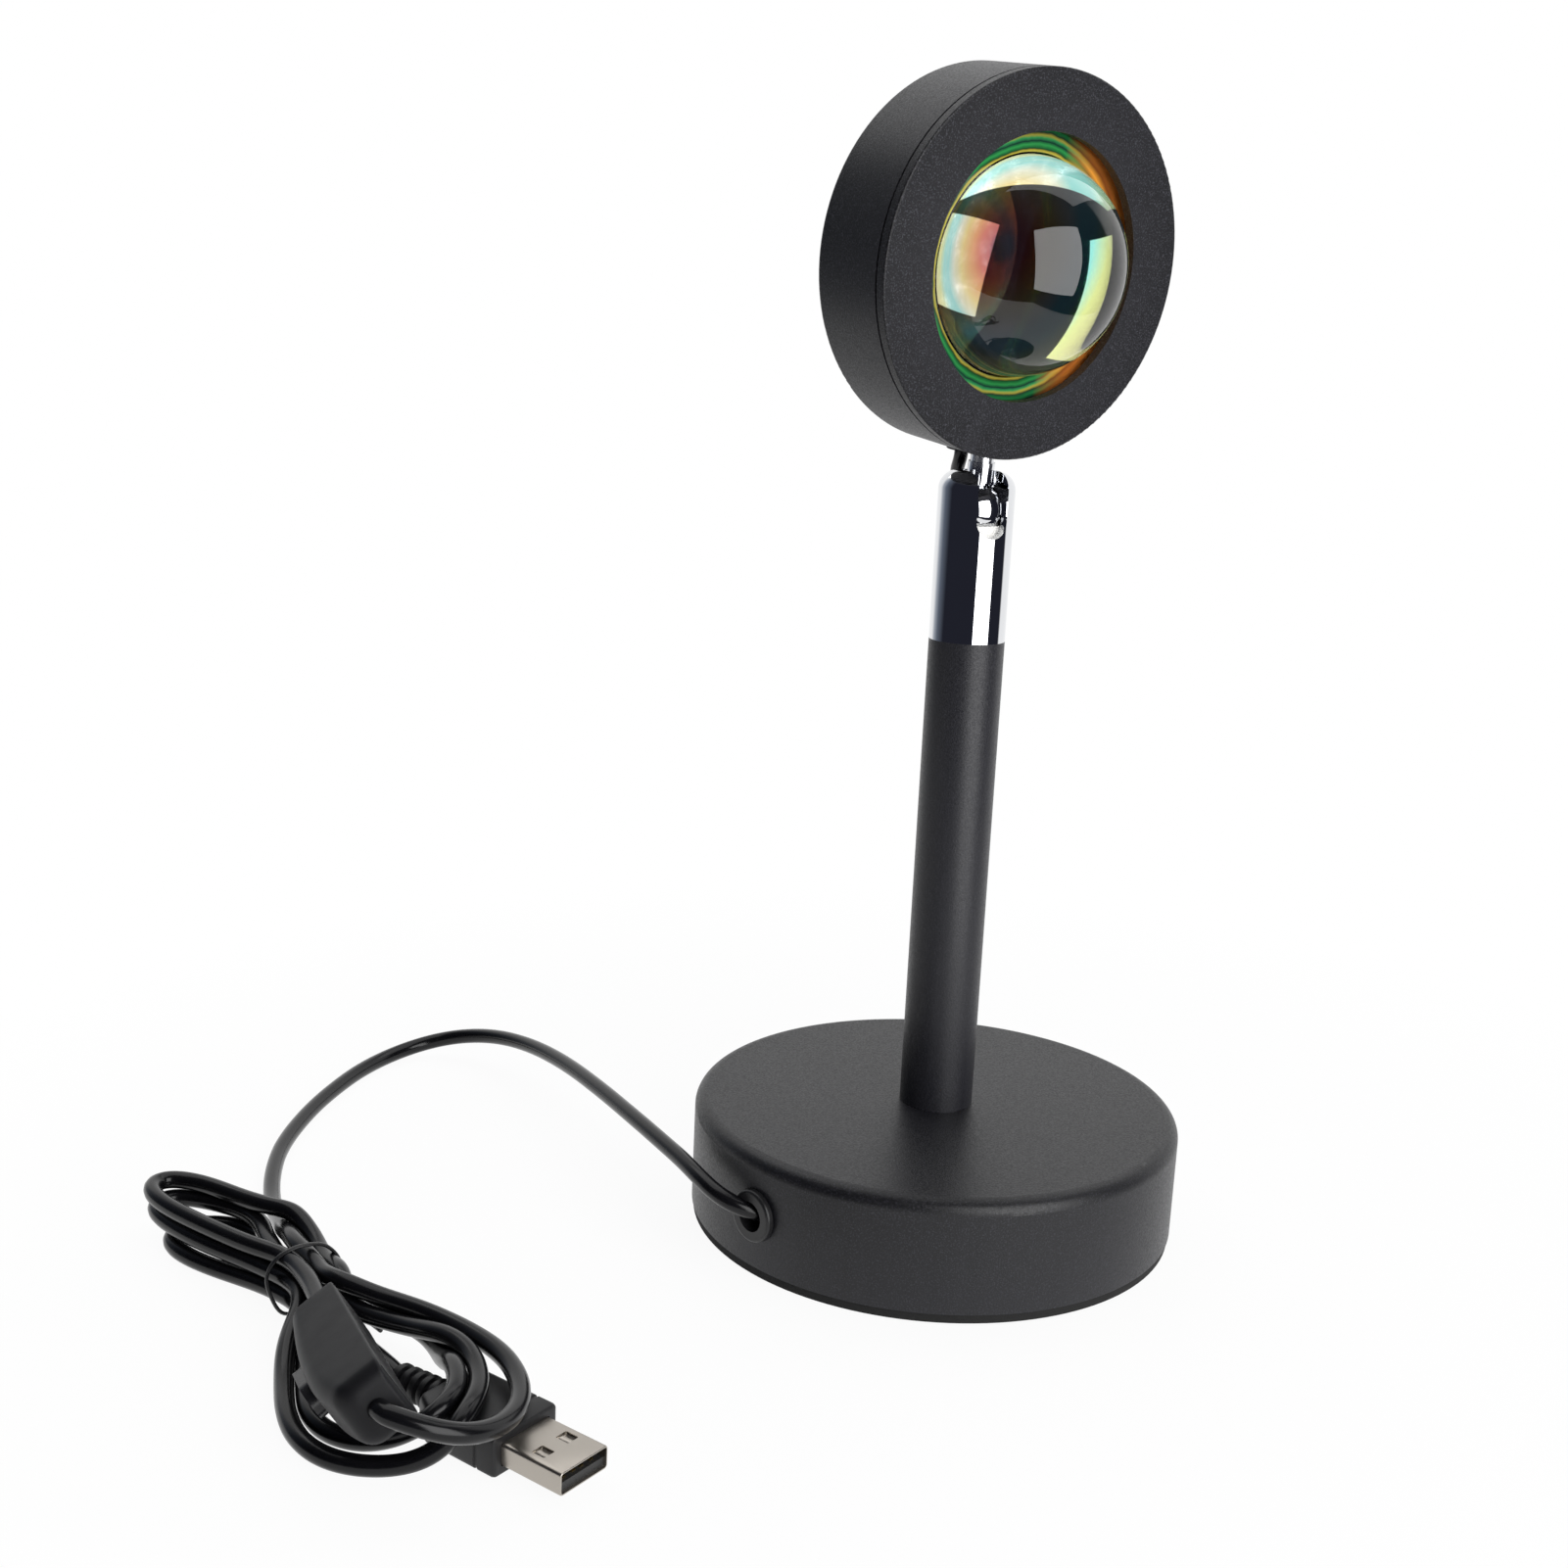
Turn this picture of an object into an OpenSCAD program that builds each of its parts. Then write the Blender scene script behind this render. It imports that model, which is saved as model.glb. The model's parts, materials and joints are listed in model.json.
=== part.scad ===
// Projection lamp on a round base: a disc head with a bulging lens turns on a
// slotted ball joint at the top of a straight pole. Its supply cord leaves the
// base, lies in a tied hank and ends in a plug, with a switch on the way.
// Millimetres, +Z up, origin at the middle of the base's underside.
// The lens looks along -Y.

/* [Base] */
// Diameter of the base
base_d = 110; // [90:1:150]
// Height of the base shell above its foot pad
base_h = 24.8; // [22:0.1:40]
// Sheet thickness of the base shell
base_wall = 1.6; // [1:0.1:2.5]
// Rounding of the shell's top edge
base_round = 3; // [2:0.1:6]
// Thickness of the foot pad
pad_t = 2; // [1:0.1:4]
// Width of the rim that the pad leaves free
pad_inset = 0.4; // [0:0.1:3]
// Thickness of the ballast plate
ballast_t = 6; // [3:0.5:8]
// Hole in the middle of the ballast plate
ballast_hole_d = 30; // [24:1:40]
// Height of the cord outlet above the table
outlet_z = 14; // [12:0.1:15]
// Compass angle of the cord outlet, from +X
outlet_angle = 187.8; // [180:0.1:200]
// Diameter of the outlet grommet's flange
outlet_flange_d = 11.5; // [10:0.1:14]
// Hole that the outlet grommet sits in
outlet_hole_d = 8.4; // [8:0.1:9]
// Bore of the outlet grommet, in which the cord can lean
outlet_bore_d = 6.6; // [6.5:0.1:7]

/* [Pole] */
// Outer diameter of the pole and of the joint tube
pole_d = 16.5; // [15:0.1:20]
// Wall of the pole
pole_wall = 1.2; // [0.8:0.1:1.6]
// Length of the painted pole above the base
pole_l = 106.5; // [80:0.1:200]
// Outer diameter of the hollow nipple that bolts the pole down
nipple_d = 10; // [9:0.1:11]
// Bore of the nipple
nipple_bore_d = 7; // [5:0.1:7.5]
// Length of the bush in the foot of the pole
bush_l = 14; // [8:1:30]
// Thickness of the nut under the base
base_nut_t = 4; // [3:0.1:5]
// Width of that nut over its flats
base_nut_af = 14; // [13:0.1:16]

/* [Ball joint] */
// Height of the joint tube above the pole
joint_l = 36.3; // [33:0.1:60]
// Length of the joint tube inside the pole
joint_spigot_l = 12; // [6:1:25]
// Diameter of the ball
ball_d = 12; // [11:0.1:12.5]
// Running gap between the ball and its seat
ball_gap = 0.05; // [0.02:0.01:0.1]
// Metal over the ball at the top of the joint tube
joint_crown_t = 2.35; // [2:0.05:3]
// Rounding of the joint tube's top edge
joint_round = 4.2; // [2:0.1:5]
// Width of the slot that the stem tilts into
slot_w = 7.2; // [6.1:0.1:7.4]
// How far the slot runs below the ball's middle, at its centre line
slot_drop = 1.9; // [1:0.1:2.5]
// Direction of the slot, counted from -Y towards +X
slot_az = -12; // [-20:1:20]
// Diameter of the stem's collar
collar_d = 5.7; // [5.2:0.1:5.9]
// Lower end of the collar above the ball's middle
collar_z0 = 5.8; // [5.7:0.1:6]
// Upper end of the collar above the ball's middle
collar_z1 = 10.4; // [9:0.1:11]
// Diameter of the stem between the collar and the head
neck_d = 5; // [4.6:0.1:5.2]
// Diameter of the stem's threaded end and of its pin in the ball
stud_d = 4; // [3.5:0.1:4.2]
// Lean of the stem at rest, towards the slot
tilt_rest = 7.5; // [0:0.5:12]
// Turn of the head on its stem at rest, away from the slot
spin_rest = 12; // [0:1:20]
// Height of the lead's hole in the joint tube above the pole
lead_hole_z = 4; // [3.9:0.1:4.8]
// Direction of the lead's hole, turned from the back
lead_az = -25; // [-40:1:20]

/* [Head] */
// Diameter of the head
head_d = 77.2; // [74:0.1:90]
// Depth of the head from face to back
head_t = 22; // [21.5:0.1:26]
// Wall of the head's housing
head_wall = 1.8; // [1.2:0.1:2]
// Ball's middle to the head's centre
head_drop = 51.1; // [49.8:0.1:60]
// Depth of the stem behind the face
stem_depth = 8.8; // [8.6:0.1:9.4]
// Depth of the face ring ahead of its shadow groove
ring_t = 2.2; // [2:0.1:2.6]
// Width and depth of the shadow groove
groove = 0.5; // [0.3:0.1:0.7]
// Width of the face ring round the opening
face_w = 12; // [11.8:0.1:13.5]
// Radius of the lens's front surface
lens_r = 33; // [32:0.5:36]
// How far the lens reaches behind the face ring
lens_lap = 2.4; // [2:0.1:2.6]
// Thickness of the lens at its edge
lens_edge = 2.5; // [2:0.1:2.8]
// How much smaller the filter's radius is than the lens's
filter_step = 2; // [1:0.1:3]
// Thickness of the dichroic filter
filter_t = 1.1; // [0.8:0.1:1.5]
// Diameter of the circuit board
board_d = 24; // [20:1:30]
// Thickness of the circuit board
board_t = 1.6; // [1:0.1:2]
// Lead's distance behind the stem where it enters the head
lead_back = 7; // [6.8:0.1:7.5]

/* [Cord] */
// Diameter of the supply cord
cord_d = 3.8; // [3.4:0.1:4.2]
// Diameter of the lead inside the lamp and up to the head
lead_d = 3; // [2.6:0.1:3.1]
// Height of the tied hank
hank_h = 13.6; // [12:0.1:16]
// Width of the twist tie
tie_w = 1.5; // [1:0.1:3]
// Thickness of the twist tie
tie_t = 0.8; // [0.5:0.1:1]

/* [Switch] */
// Length of the inline switch
switch_l = 46.5; // [44:0.5:50]
// Width of the inline switch
switch_w = 13; // [12:0.1:14]
// Height of its ends: the one towards the hank, and the other
switch_end_h = [9.7, 9]; // [8:0.1:11]
// Rise of its curved top above the ends
switch_rise = 3; // [2:0.1:4]
// Wall of the switch's shell
switch_wall = 1.4; // [1:0.1:1.8]
// Length and width of the button
button_size = [13, 7]; // [6:0.5:15]
// How far the button stands out of the shell
button_proud = 1.6; // [1.4:0.1:2.5]

/* [Plug] */
// Width and height of the plug's metal shell
plug_size = [12, 4.5];
// Sheet thickness of the plug's metal shell
plug_sheet = 0.3; // [0.25:0.05:0.4]
// Length of the metal shell outside the overmould
plug_out_l = 14; // [11.5:0.1:19]
// Length, width and height of the overmould
mould_size = [21, 16, 8];
// Length of the ribbed strain relief
relief_l = 12; // [8:0.5:20]

/* [Hidden] */
$fn = 96;
fit_gap = 0.05;
assembly_gap = 0.2;
overlap = 1;

// Base levels
base_top = pad_t + base_h;
shell_in_d = base_d - 2 * base_wall;
plate_under = base_top - base_wall;

// Pole and joint levels
pole_bore_d = pole_d - 2 * pole_wall;
pole_top = base_top + pole_l;
joint_top = pole_top + joint_l;
seat_r = ball_d / 2 + ball_gap;
ball_z = joint_top - joint_crown_t - seat_r;
joint_bore_d = 2 * seat_r;
slot_lip = 0.4;
slot_top_d = slot_w - 2 * slot_lip;
nipple_up = 10;
nipple_down = base_nut_t + 3.5;
washer_t = 1.2;
washer_d = 22;

// Thrust cup, spring and spring plug, from the ball down
cup_h = 7.5;
cup_top = ball_z - 3;
spring_l = 4;
spring_turns = 3;
spring_wire_d = 0.9;
spring_d = 9;
plug_ring_l = 3.2;
plug_ring_bore_d = 4;
cup_bottom = cup_top - cup_h;
spring_plug_top = cup_bottom - spring_l;

// Lead hole and its bush in the joint tube
lead_hole_d = 6.6;
bush_flange_d = 7.8;
bush_flange_t = 0.6;
bush_bore_d = 5.4;

// Head levels, as depths behind the face
housing_z = ring_t + groove;
head_r = head_d / 2;
housing_in_r = head_r - head_wall;
back_in = head_t - head_wall;
face_edge = 0.4;
rear_round = 1;
spigot_r = housing_in_r - 0.1;
spigot_wall = 1.6;
spigot_l = 5;
spigot_end = housing_z + spigot_l;
opening_r = head_r - face_w;
lens_d = 2 * (opening_r + lens_lap);
filter_d = lens_d - 2 * filter_step;
lens_gap = 0.15;
lens_centre = ring_t + sqrt(lens_r * lens_r - opening_r * opening_r) + lens_gap;
lens_rim = lens_centre - sqrt(lens_r * lens_r - lens_d * lens_d / 4);
lens_back = lens_rim + lens_edge;
gasket_t = 1.4;
holder_gap = 0.05;
holder_front = lens_back + holder_gap;
holder_flange_t = 2.4;
holder_wall = 1.2;
board_front = back_in - board_t;
led_d = 9;
led_t = 0.8;
holder_end_r = 5.6;
screw_ring_r = lens_d / 2 + gasket_t + 2.4;
ring_screw_d = 2;
screw_head_d = 3.6;
screw_head_t = 1.4;
boss_d = 4.4;
screw_angles = [-90, 30, 150];
wall_flat = head_drop - head_r;
stem_nut_af = 7;
stem_nut_t = 3;
stem_washer_t = 0.8;
nut_room = 9;
grommet_neck_d = 4.8;
grommet_flange_d = 6.6;
grommet_flange_t = 1;

// Cord routes, chosen by hand. The cord leaves the outlet, comes down to the
// table behind the lamp's cord side and runs to the hank.
arch_route = [
    [-51, -7.9, 13.4], [-53.5, -7.4, 14], [-56, -6.8, 14.7], [-58.2, -5.4, 15.6],
    [-59.8, -2.8, 16.8], [-60.3, 1.4, 17.9], [-59.8, 7.6, 18.5], [-58.6, 15.5, 18.6],
    [-57.4, 25, 18.4],
    [-55.8, 35.5, 18], [-54.2, 46, 17.4], [-52.4, 57, 16.7], [-50.6, 69, 15.8],
    [-48.9, 80.5, 14.8], [-47.6, 92, 13.6], [-46.8, 103.5, 12.2], [-46.9, 114.5, 10.6],
    [-48.4, 125, 8.8], [-51.5, 133.5, 6.8], [-56, 139.5, 4.9], [-62, 142.5, 3.2],
    [-69.5, 142, 2.2], [-77.5, 138.5, 1.9], [-86, 132.8, 1.9], [-94, 126, 1.9],
    [-101.5, 119, 1.9], [-108.5, 111.2, 1.9], [-114.5, 103.8, 1.9], [-119.5, 96.5, 1.9],
    [-124, 88, 1.9], [-127.6, 80, 1.9], [-130, 73, 2], [-131.6, 68, 2.5],
    [-133, 62.5, 3.4], [-134.6, 56, 5], [-136.1, 50.5, 6.5], [-137.3, 46, 7.8],
    [-138.4, 40.5, 9.2]
];
// The last bight, from the hank over the plug and up into the switch
bight_route = [
    [-126.4, -10, 10.1], [-124.8, -16, 10.3], [-124, -22, 10.6], [-124, -28, 10.8],
    [-124.8, -34, 11], [-126.8, -39.5, 11.2], [-129.8, -44.6, 11.6], [-133.8, -48.8, 12.4],
    [-138.6, -51.8, 13.4], [-144, -53.4, 15], [-149.2, -52.9, 17], [-153.8, -50, 18.7]
];
// From the hank to the plug's strain relief
tail_route = [[-138.7, 2.5, 3], [-138.6, -3, 3.3], [-138.6, -8.5, 3.8]];
// Inside the base and up the pole to the hole in the joint tube
lead_hole_level = pole_top + lead_hole_z;
lead_run = [
    [-50.6, -8, 13.3], [-46, -8.6, 12.4], [-38, -7.6, 11.6], [-26, -4.6, 11.2],
    [-15, -2.4, 11], [-8, -1.1, 11.2], [-4, -0.5, 12.1], [-1.3, -0.1, 14.6],
    [-0.2, 0, 18.2], [0, 0, 24]
];
lead_rise = [
    [0, 0, base_top + 14], [0, 0, pole_top - 24], [0, 0, pole_top - 12],
    lead_spot(-0.8, lead_hole_level - 10, lead_az), lead_spot(-0.2, lead_hole_level - 6, lead_az),
    lead_spot(2.2, lead_hole_level - 2.2, lead_az), lead_spot(5.6, lead_hole_level - 0.8, lead_az)
];
// From the joint tube's hole up behind the joint to the head
back_r = pole_d / 2;
lead_end_at = [0, lead_back, wall_flat + head_wall + 3.2];
// Each step is its distance out of the tube's wall, its rise, its share of lead_az
lead_steps = [
    [-2.6, -0.8, 1], [0.5, 0.3, 1], [2.4, 2.6, 1], [3, 6.4, 1], [2.9, 12, 1],
    [2.5, 19, 1], [2.1, 25, 0.9], [1.9, 28.1, 0.75], [1.5, 29.9, 0.6],
    [0.5, 31.7, 0.4], [-1, 33.2, 0.2], [-2.2, 34.6, 0]
];
lead_up = [for (s = lead_steps)
    lead_spot(back_r + s[0], lead_hole_level + s[1], s[2] * lead_az)];

// The hank's outline: round places and their radii, from its far end to the
// loops that hold the switch and the plug
hank_spots = [
    [-151.5, 69.5, 9.5], [-147.5, 53, 11], [-143.5, 42, 10.6], [-140, 29, 7.6],
    [-143, -4, 15], [-143.5, -24.5, 19.4]
];
hank_hollow = [[-143, -5, 5], [-143, -20, 10.5]];
tie_at = [-140, 29, 0];
tie_turn = 12;
tie_band_l = 60;

// Place and lie of the switch and of the plug
switch_at = [-143, -0.9, 14.4];
switch_lie = [32.5, -9, -102];
button_gap = 0.25;
button_travel = 1.2;
button_deep = switch_wall + 2.2;
plug_at = [-124, -58, mould_size[2] / 2];
plug_turn = -72;
lie_gap = 0.4;

// ---- Helpers -------------------------------------------------------------

// A place `out` from the pole's axis, turned a degrees from the back
function lead_spot(out, z, a) = [-out * sin(a), out * cos(a), z];

function unit(v) = v / norm(v);

// Direction of a route at point i
function heading(p, i) =
    unit((i == 0 ? p[1] - p[0] : i == len(p) - 1 ? p[i] - p[i - 1]
          : unit(p[i] - p[i - 1]) + unit(p[i + 1] - p[i])));

// Side vectors carried along a route with no twist
function carried(p, i, side) =
    let (t = heading(p, i), s = unit(side - (side * t) * t))
    i == len(p) - 1 ? [s] : concat([s], carried(p, i + 1, s));

// Round tube along a route, with one ring of `sides` points at each place
module tube(p, d, sides, first_side = [0, 0, 1]) {
    side = carried(p, 0, first_side);
    n = len(p);
    points = [for (i = [0 : n - 1]) let (t = heading(p, i), u = side[i], v = cross(t, u))
        for (k = [0 : sides - 1]) let (a = 360 * k / sides)
            p[i] + d / 2 * (cos(a) * u + sin(a) * v)];
    walls = [for (i = [0 : n - 2]) for (k = [0 : sides - 1])
        let (k2 = (k + 1) % sides)
        [i * sides + k, (i + 1) * sides + k, (i + 1) * sides + k2, i * sides + k2]];
    start = [[for (k = [0 : sides - 1]) k]];
    end = [[for (k = [sides - 1 : -1 : 0]) (n - 1) * sides + k]];
    polyhedron(points = points, faces = concat(start, walls, end), convexity = 8);
}

// Outline that wraps two circles, each [x, y, r]
module wrap2(a, b) {
    run = [b[0] - a[0], b[1] - a[1]];
    dist = norm(run);
    turn = atan2(run[1], run[0]);
    lean = acos((a[2] - b[2]) / dist);
    translate([a[0], a[1]]) circle(a[2]);
    translate([b[0], b[1]]) circle(b[2]);
    polygon([for (s = [-1, 1], c = s < 0 ? [a, b] : [b, a])
        [c[0] + c[2] * cos(turn + s * lean), c[1] + c[2] * sin(turn + s * lean)]]);
}

// Outline that wraps a chain of circles, one pair after the other
module chain_outline(spots) {
    for (i = [0 : len(spots) - 2]) wrap2(spots[i], spots[i + 1]);
}

module hexagon(af) { circle(d = af / cos(30), $fn = 6); }

module nut(af, bore, t) {
    linear_extrude(t) difference() { hexagon(af); circle(d = bore); }
}

module washer(d, bore, t) {
    linear_extrude(t) difference() { circle(d = d); circle(d = bore); }
}

// Half section of a disc of radius r and height h whose top edge is rounded
module round_top_section(r, h, e) {
    square([r, h - e]);
    square([r - e, h]);
    translate([r - e, h - e]) circle(e);
}

// ---- Places --------------------------------------------------------------

// Facing out of the base wall at the cord outlet; +Z points outwards
module at_outlet() {
    translate([0, 0, outlet_z]) rotate([0, 0, outlet_angle]) rotate([0, 90, 0]) children();
}

// At the ball's middle, +Z along the stem, -Y where the lens looks
module at_stem() {
    translate([0, 0, ball_z]) rotate([0, 0, slot_az]) rotate([tilt_rest, 0, 0])
        rotate([0, 0, spin_rest]) children();
}

// At the middle of the head's face, +Z into the head, +Y down to the stem
module at_face() {
    at_stem() translate([0, -stem_depth, head_drop]) rotate([-90, 0, 0]) children();
}

// On the joint tube's back, at the lead's hole; +Z points outwards
module at_lead_hole() {
    translate([0, 0, lead_hole_level]) rotate([0, 0, lead_az]) rotate([-90, 0, 0]) children();
}

module at_switch() { translate(switch_at) rotate(switch_lie) children(); }

// At the middle of the plug's mouth, +X out of the mouth
module at_plug() { translate(plug_at) rotate([0, 0, plug_turn]) children(); }

// ---- Base ----------------------------------------------------------------

module base_shell() {
    color("#2e2f33") difference() {
        translate([0, 0, pad_t]) rotate_extrude() difference() {
            round_top_section(base_d / 2, base_h, base_round);
            translate([0, -overlap])
                round_top_section(shell_in_d / 2, base_h - base_wall + overlap,
                                  base_round - base_wall);
            translate([-overlap, -overlap]) square([overlap, base_h + 2 * overlap]);
        }
        translate([0, 0, plate_under - overlap])
            cylinder(d = nipple_d + 2 * assembly_gap, h = base_wall + 2 * overlap);
        at_outlet() translate([0, 0, base_d / 2 - 2 * base_wall - 3])
            cylinder(d = outlet_hole_d, h = 2 * base_wall + 6);
    }
}

module base_ballast() {
    color("#4a4a4c") translate([0, 0, pad_t])
        washer(shell_in_d - 2 * assembly_gap, ballast_hole_d, ballast_t);
}

module foot_pad() {
    color("#161616") cylinder(d = base_d - 2 * pad_inset, h = pad_t);
}

// Rubber grommet: flange outside, neck through the wall, lip inside
module outlet_grommet() {
    flange_t = 1.5;
    lip_t = 1.4;
    neck_d = outlet_hole_d - 2 * fit_gap;
    seat = base_d / 2 + 0.15;
    inside = base_d / 2 - base_wall - 0.5;
    color("#0d0d0e") difference() {
        at_outlet() rotate_extrude() difference() {
            union() {
                translate([0, inside - lip_t]) square([neck_d / 2, seat + flange_t - inside + lip_t]);
                translate([0, inside - lip_t]) square([neck_d / 2 + 0.8, lip_t]);
                translate([0, seat]) square([outlet_flange_d / 2 - 0.7, flange_t]);
                translate([0, seat]) square([outlet_flange_d / 2, flange_t - 0.7]);
                translate([outlet_flange_d / 2 - 0.7, seat + flange_t - 0.7]) circle(0.7);
            }
            translate([0, inside - lip_t - overlap])
                square([outlet_bore_d / 2, flange_t + seat - inside + lip_t + 2 * overlap]);
            translate([-overlap, 0]) square([overlap, base_d]);
        }
    }
}

module base_washer() {
    color("#b9bbbe") translate([0, 0, plate_under - washer_t])
        washer(washer_d, nipple_d + 2 * assembly_gap, washer_t);
}

module base_nut() {
    color("#b9bbbe") translate([0, 0, plate_under - washer_t - base_nut_t])
        nut(base_nut_af, nipple_d + 2 * fit_gap, base_nut_t);
}

// ---- Pole ----------------------------------------------------------------

module pole_nipple() {
    low = plate_under - washer_t - nipple_down;
    color("#c9b27a") translate([0, 0, low])
        washer(nipple_d, nipple_bore_d, base_top + nipple_up - low);
}

module pole_bush() {
    color("#8e9094") translate([0, 0, base_top])
        washer(pole_bore_d - 2 * fit_gap, nipple_d + 2 * fit_gap, bush_l);
}

module pole() {
    color("#2e2f33") translate([0, 0, base_top]) washer(pole_d, pole_bore_d, pole_l);
}

// ---- Ball joint ----------------------------------------------------------

// Chromed tube: domed top with a spherical seat, and a slot for the stem
module joint_tube() {
    slot_z = ball_z - slot_drop;
    color("#d5d7da") difference() {
        union() {
            translate([0, 0, pole_top]) rotate_extrude() intersection() {
                round_top_section(pole_d / 2, joint_l, joint_round);
                square([pole_d, joint_l + overlap]);
            }
            translate([0, 0, pole_top - joint_spigot_l])
                cylinder(d = pole_bore_d - 2 * fit_gap, h = joint_spigot_l + overlap);
        }
        translate([0, 0, pole_top - joint_spigot_l - overlap])
            cylinder(d = joint_bore_d, h = ball_z - pole_top + joint_spigot_l + overlap);
        translate([0, 0, ball_z]) sphere(seat_r);
        translate([0, 0, ball_z]) cylinder(d = slot_top_d, h = joint_top);
        rotate([0, 0, slot_az]) {
            translate([0, 0, slot_z]) rotate([90, 0, 0]) cylinder(d = slot_w, h = pole_d);
            translate([-slot_w / 2, -pole_d, slot_z]) cube([slot_w, pole_d, joint_top]);
        }
        at_lead_hole() cylinder(d = lead_hole_d, h = pole_d);
    }
}

module spring_plug() {
    color("#b8975a") translate([0, 0, spring_plug_top - plug_ring_l])
        washer(joint_bore_d - 2 * fit_gap, plug_ring_bore_d, plug_ring_l);
}

module joint_spring() {
    steps = 16;
    rise = spring_l - spring_wire_d - 0.1;
    route = [for (i = [0 : spring_turns * steps]) let (a = 360 * i / steps)
        [spring_d / 2 * cos(a), spring_d / 2 * sin(a),
         spring_plug_top + 0.05 + spring_wire_d / 2 + rise * i / (spring_turns * steps)]];
    color("#9a9ca0") tube(route, spring_wire_d, 6);
}

module thrust_cup() {
    color("#e8e6df") difference() {
        translate([0, 0, cup_bottom]) cylinder(d = joint_bore_d - 2 * fit_gap, h = cup_h);
        translate([0, 0, ball_z]) sphere(seat_r);
    }
}

// Rubber bush round the lead in the back of the joint tube
module lead_bush() {
    neck = (pole_d - joint_bore_d) / 2;
    color("#0d0d0e") intersection() {
        at_lead_hole() rotate_extrude() difference() {
            union() {
                translate([0, back_r - neck - 0.3]) square([lead_hole_d / 2 - fit_gap, neck + 0.5]);
                translate([0, back_r - 0.35]) square([bush_flange_d / 2, bush_flange_t + 0.35]);
            }
            translate([-overlap, 0]) square([bush_bore_d / 2 + overlap, pole_d]);
        }
        union() {
            translate([0, 0, lead_hole_level - pole_d]) difference() {
                cylinder(d = 3 * pole_d, h = 2 * pole_d);
                translate([0, 0, -overlap])
                    cylinder(d = pole_d + 2 * fit_gap, h = 2 * (pole_d + overlap));
            }
            at_lead_hole() cylinder(d = lead_hole_d, h = pole_d);
        }
    }
}

module inner_lead() {
    color("#141414") tube(concat(lead_run, lead_rise), lead_d, 8, [0, 1, 0]);
}

module joint_ball() {
    color("#d5d7da") difference() {
        translate([0, 0, ball_z]) sphere(d = ball_d);
        at_stem() translate([0, 0, -ball_d / 3])
            cylinder(d = stud_d + 2 * fit_gap, h = ball_d);
    }
}

// Stem: pin in the ball, flared collar, neck and threaded end in one turning
module stem() {
    pin_end = -ball_d / 3 + 0.3;
    shoulder = wall_flat - 0.02;
    tip = wall_flat + head_wall + stem_washer_t + stem_nut_t + 1.2;
    flare = 0.5;
    color("#cfd0d2") at_stem() {
        translate([0, 0, pin_end]) cylinder(d = stud_d, h = collar_z0 - pin_end + overlap / 2);
        translate([0, 0, collar_z0]) cylinder(d = collar_d - 2 * flare, h = flare + 0.1);
        translate([0, 0, collar_z0 + flare])
            cylinder(d = collar_d, h = collar_z1 - collar_z0 - flare);
        translate([0, 0, collar_z1 - 0.1]) cylinder(d = neck_d, h = shoulder - collar_z1 + 0.1);
        translate([0, 0, shoulder - 0.1]) cylinder(d = stud_d, h = tip - shoulder + 0.1);
    }
}

// ---- Head ----------------------------------------------------------------

module stem_washer() {
    color("#b9bbbe") at_stem() translate([0, 0, wall_flat + head_wall + 0.45])
        washer(2 * stud_d, stud_d + 2 * fit_gap, stem_washer_t);
}

module stem_nut() {
    color("#b9bbbe") at_stem()
        translate([0, 0, wall_flat + head_wall + 0.45 + stem_washer_t])
            nut(stem_nut_af, stud_d + 2 * fit_gap, stem_nut_t);
}

// Cup with a closed back, drilled at the bottom for the stem and the lead
module head_housing() {
    drill = head_wall + 4;
    color("#26272a") at_face() difference() {
        rotate_extrude() difference() {
            intersection() {
                round_top_section(head_r, head_t, rear_round);
                translate([0, housing_z]) square([head_r, head_t]);
            }
            translate([-overlap, 0]) square([housing_in_r + overlap, back_in]);
        }
        for (hole = [[stem_depth, stud_d + 2 * assembly_gap],
                     [stem_depth + lead_back, grommet_neck_d + 2 * fit_gap]])
            translate([0, housing_in_r - 2, hole[0]]) rotate([-90, 0, 0])
                cylinder(d = hole[1], h = drill);
        for (x = [-1, 1]) translate([x * (board_d / 2 - 3.2), 0, back_in - overlap])
            cylinder(d = 1.6, h = overlap + head_wall * 0.7);
    }
}

// Face ring: plate with the lens opening, shadow groove, spigot and bosses
module front_ring() {
    boss_l = holder_front - ring_t;
    color("#35363a") at_face() difference() {
        union() {
            rotate_extrude() difference() {
                union() {
                    translate([0, face_edge]) square([head_r, ring_t - face_edge]);
                    square([head_r - face_edge, ring_t]);
                    translate([head_r - face_edge, face_edge]) circle(face_edge);
                    square([head_r - groove, housing_z]);
                    square([spigot_r, spigot_end]);
                }
                translate([-overlap, -overlap])
                    square([opening_r + overlap, head_t]);
                translate([0, ring_t]) square([spigot_r - spigot_wall, head_t]);
            }
            for (a = screw_angles) rotate([0, 0, a]) translate([screw_ring_r, 0, ring_t - 0.2])
                cylinder(d = boss_d, h = boss_l + 0.2);
        }
        for (a = screw_angles) rotate([0, 0, a]) translate([screw_ring_r, 0, ring_t + 0.6])
            cylinder(d = ring_screw_d - 0.3, h = boss_l + overlap);
        translate([-stem_nut_af, head_r - nut_room, housing_z])
            cube([2 * stem_nut_af, nut_room + overlap, head_t]);
    }
}

module lens_gasket() {
    color("#1a1a1a") at_face() translate([0, 0, ring_t])
        washer(lens_d + 2 * gasket_t, lens_d + 2 * fit_gap, lens_back - ring_t);
}

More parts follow.
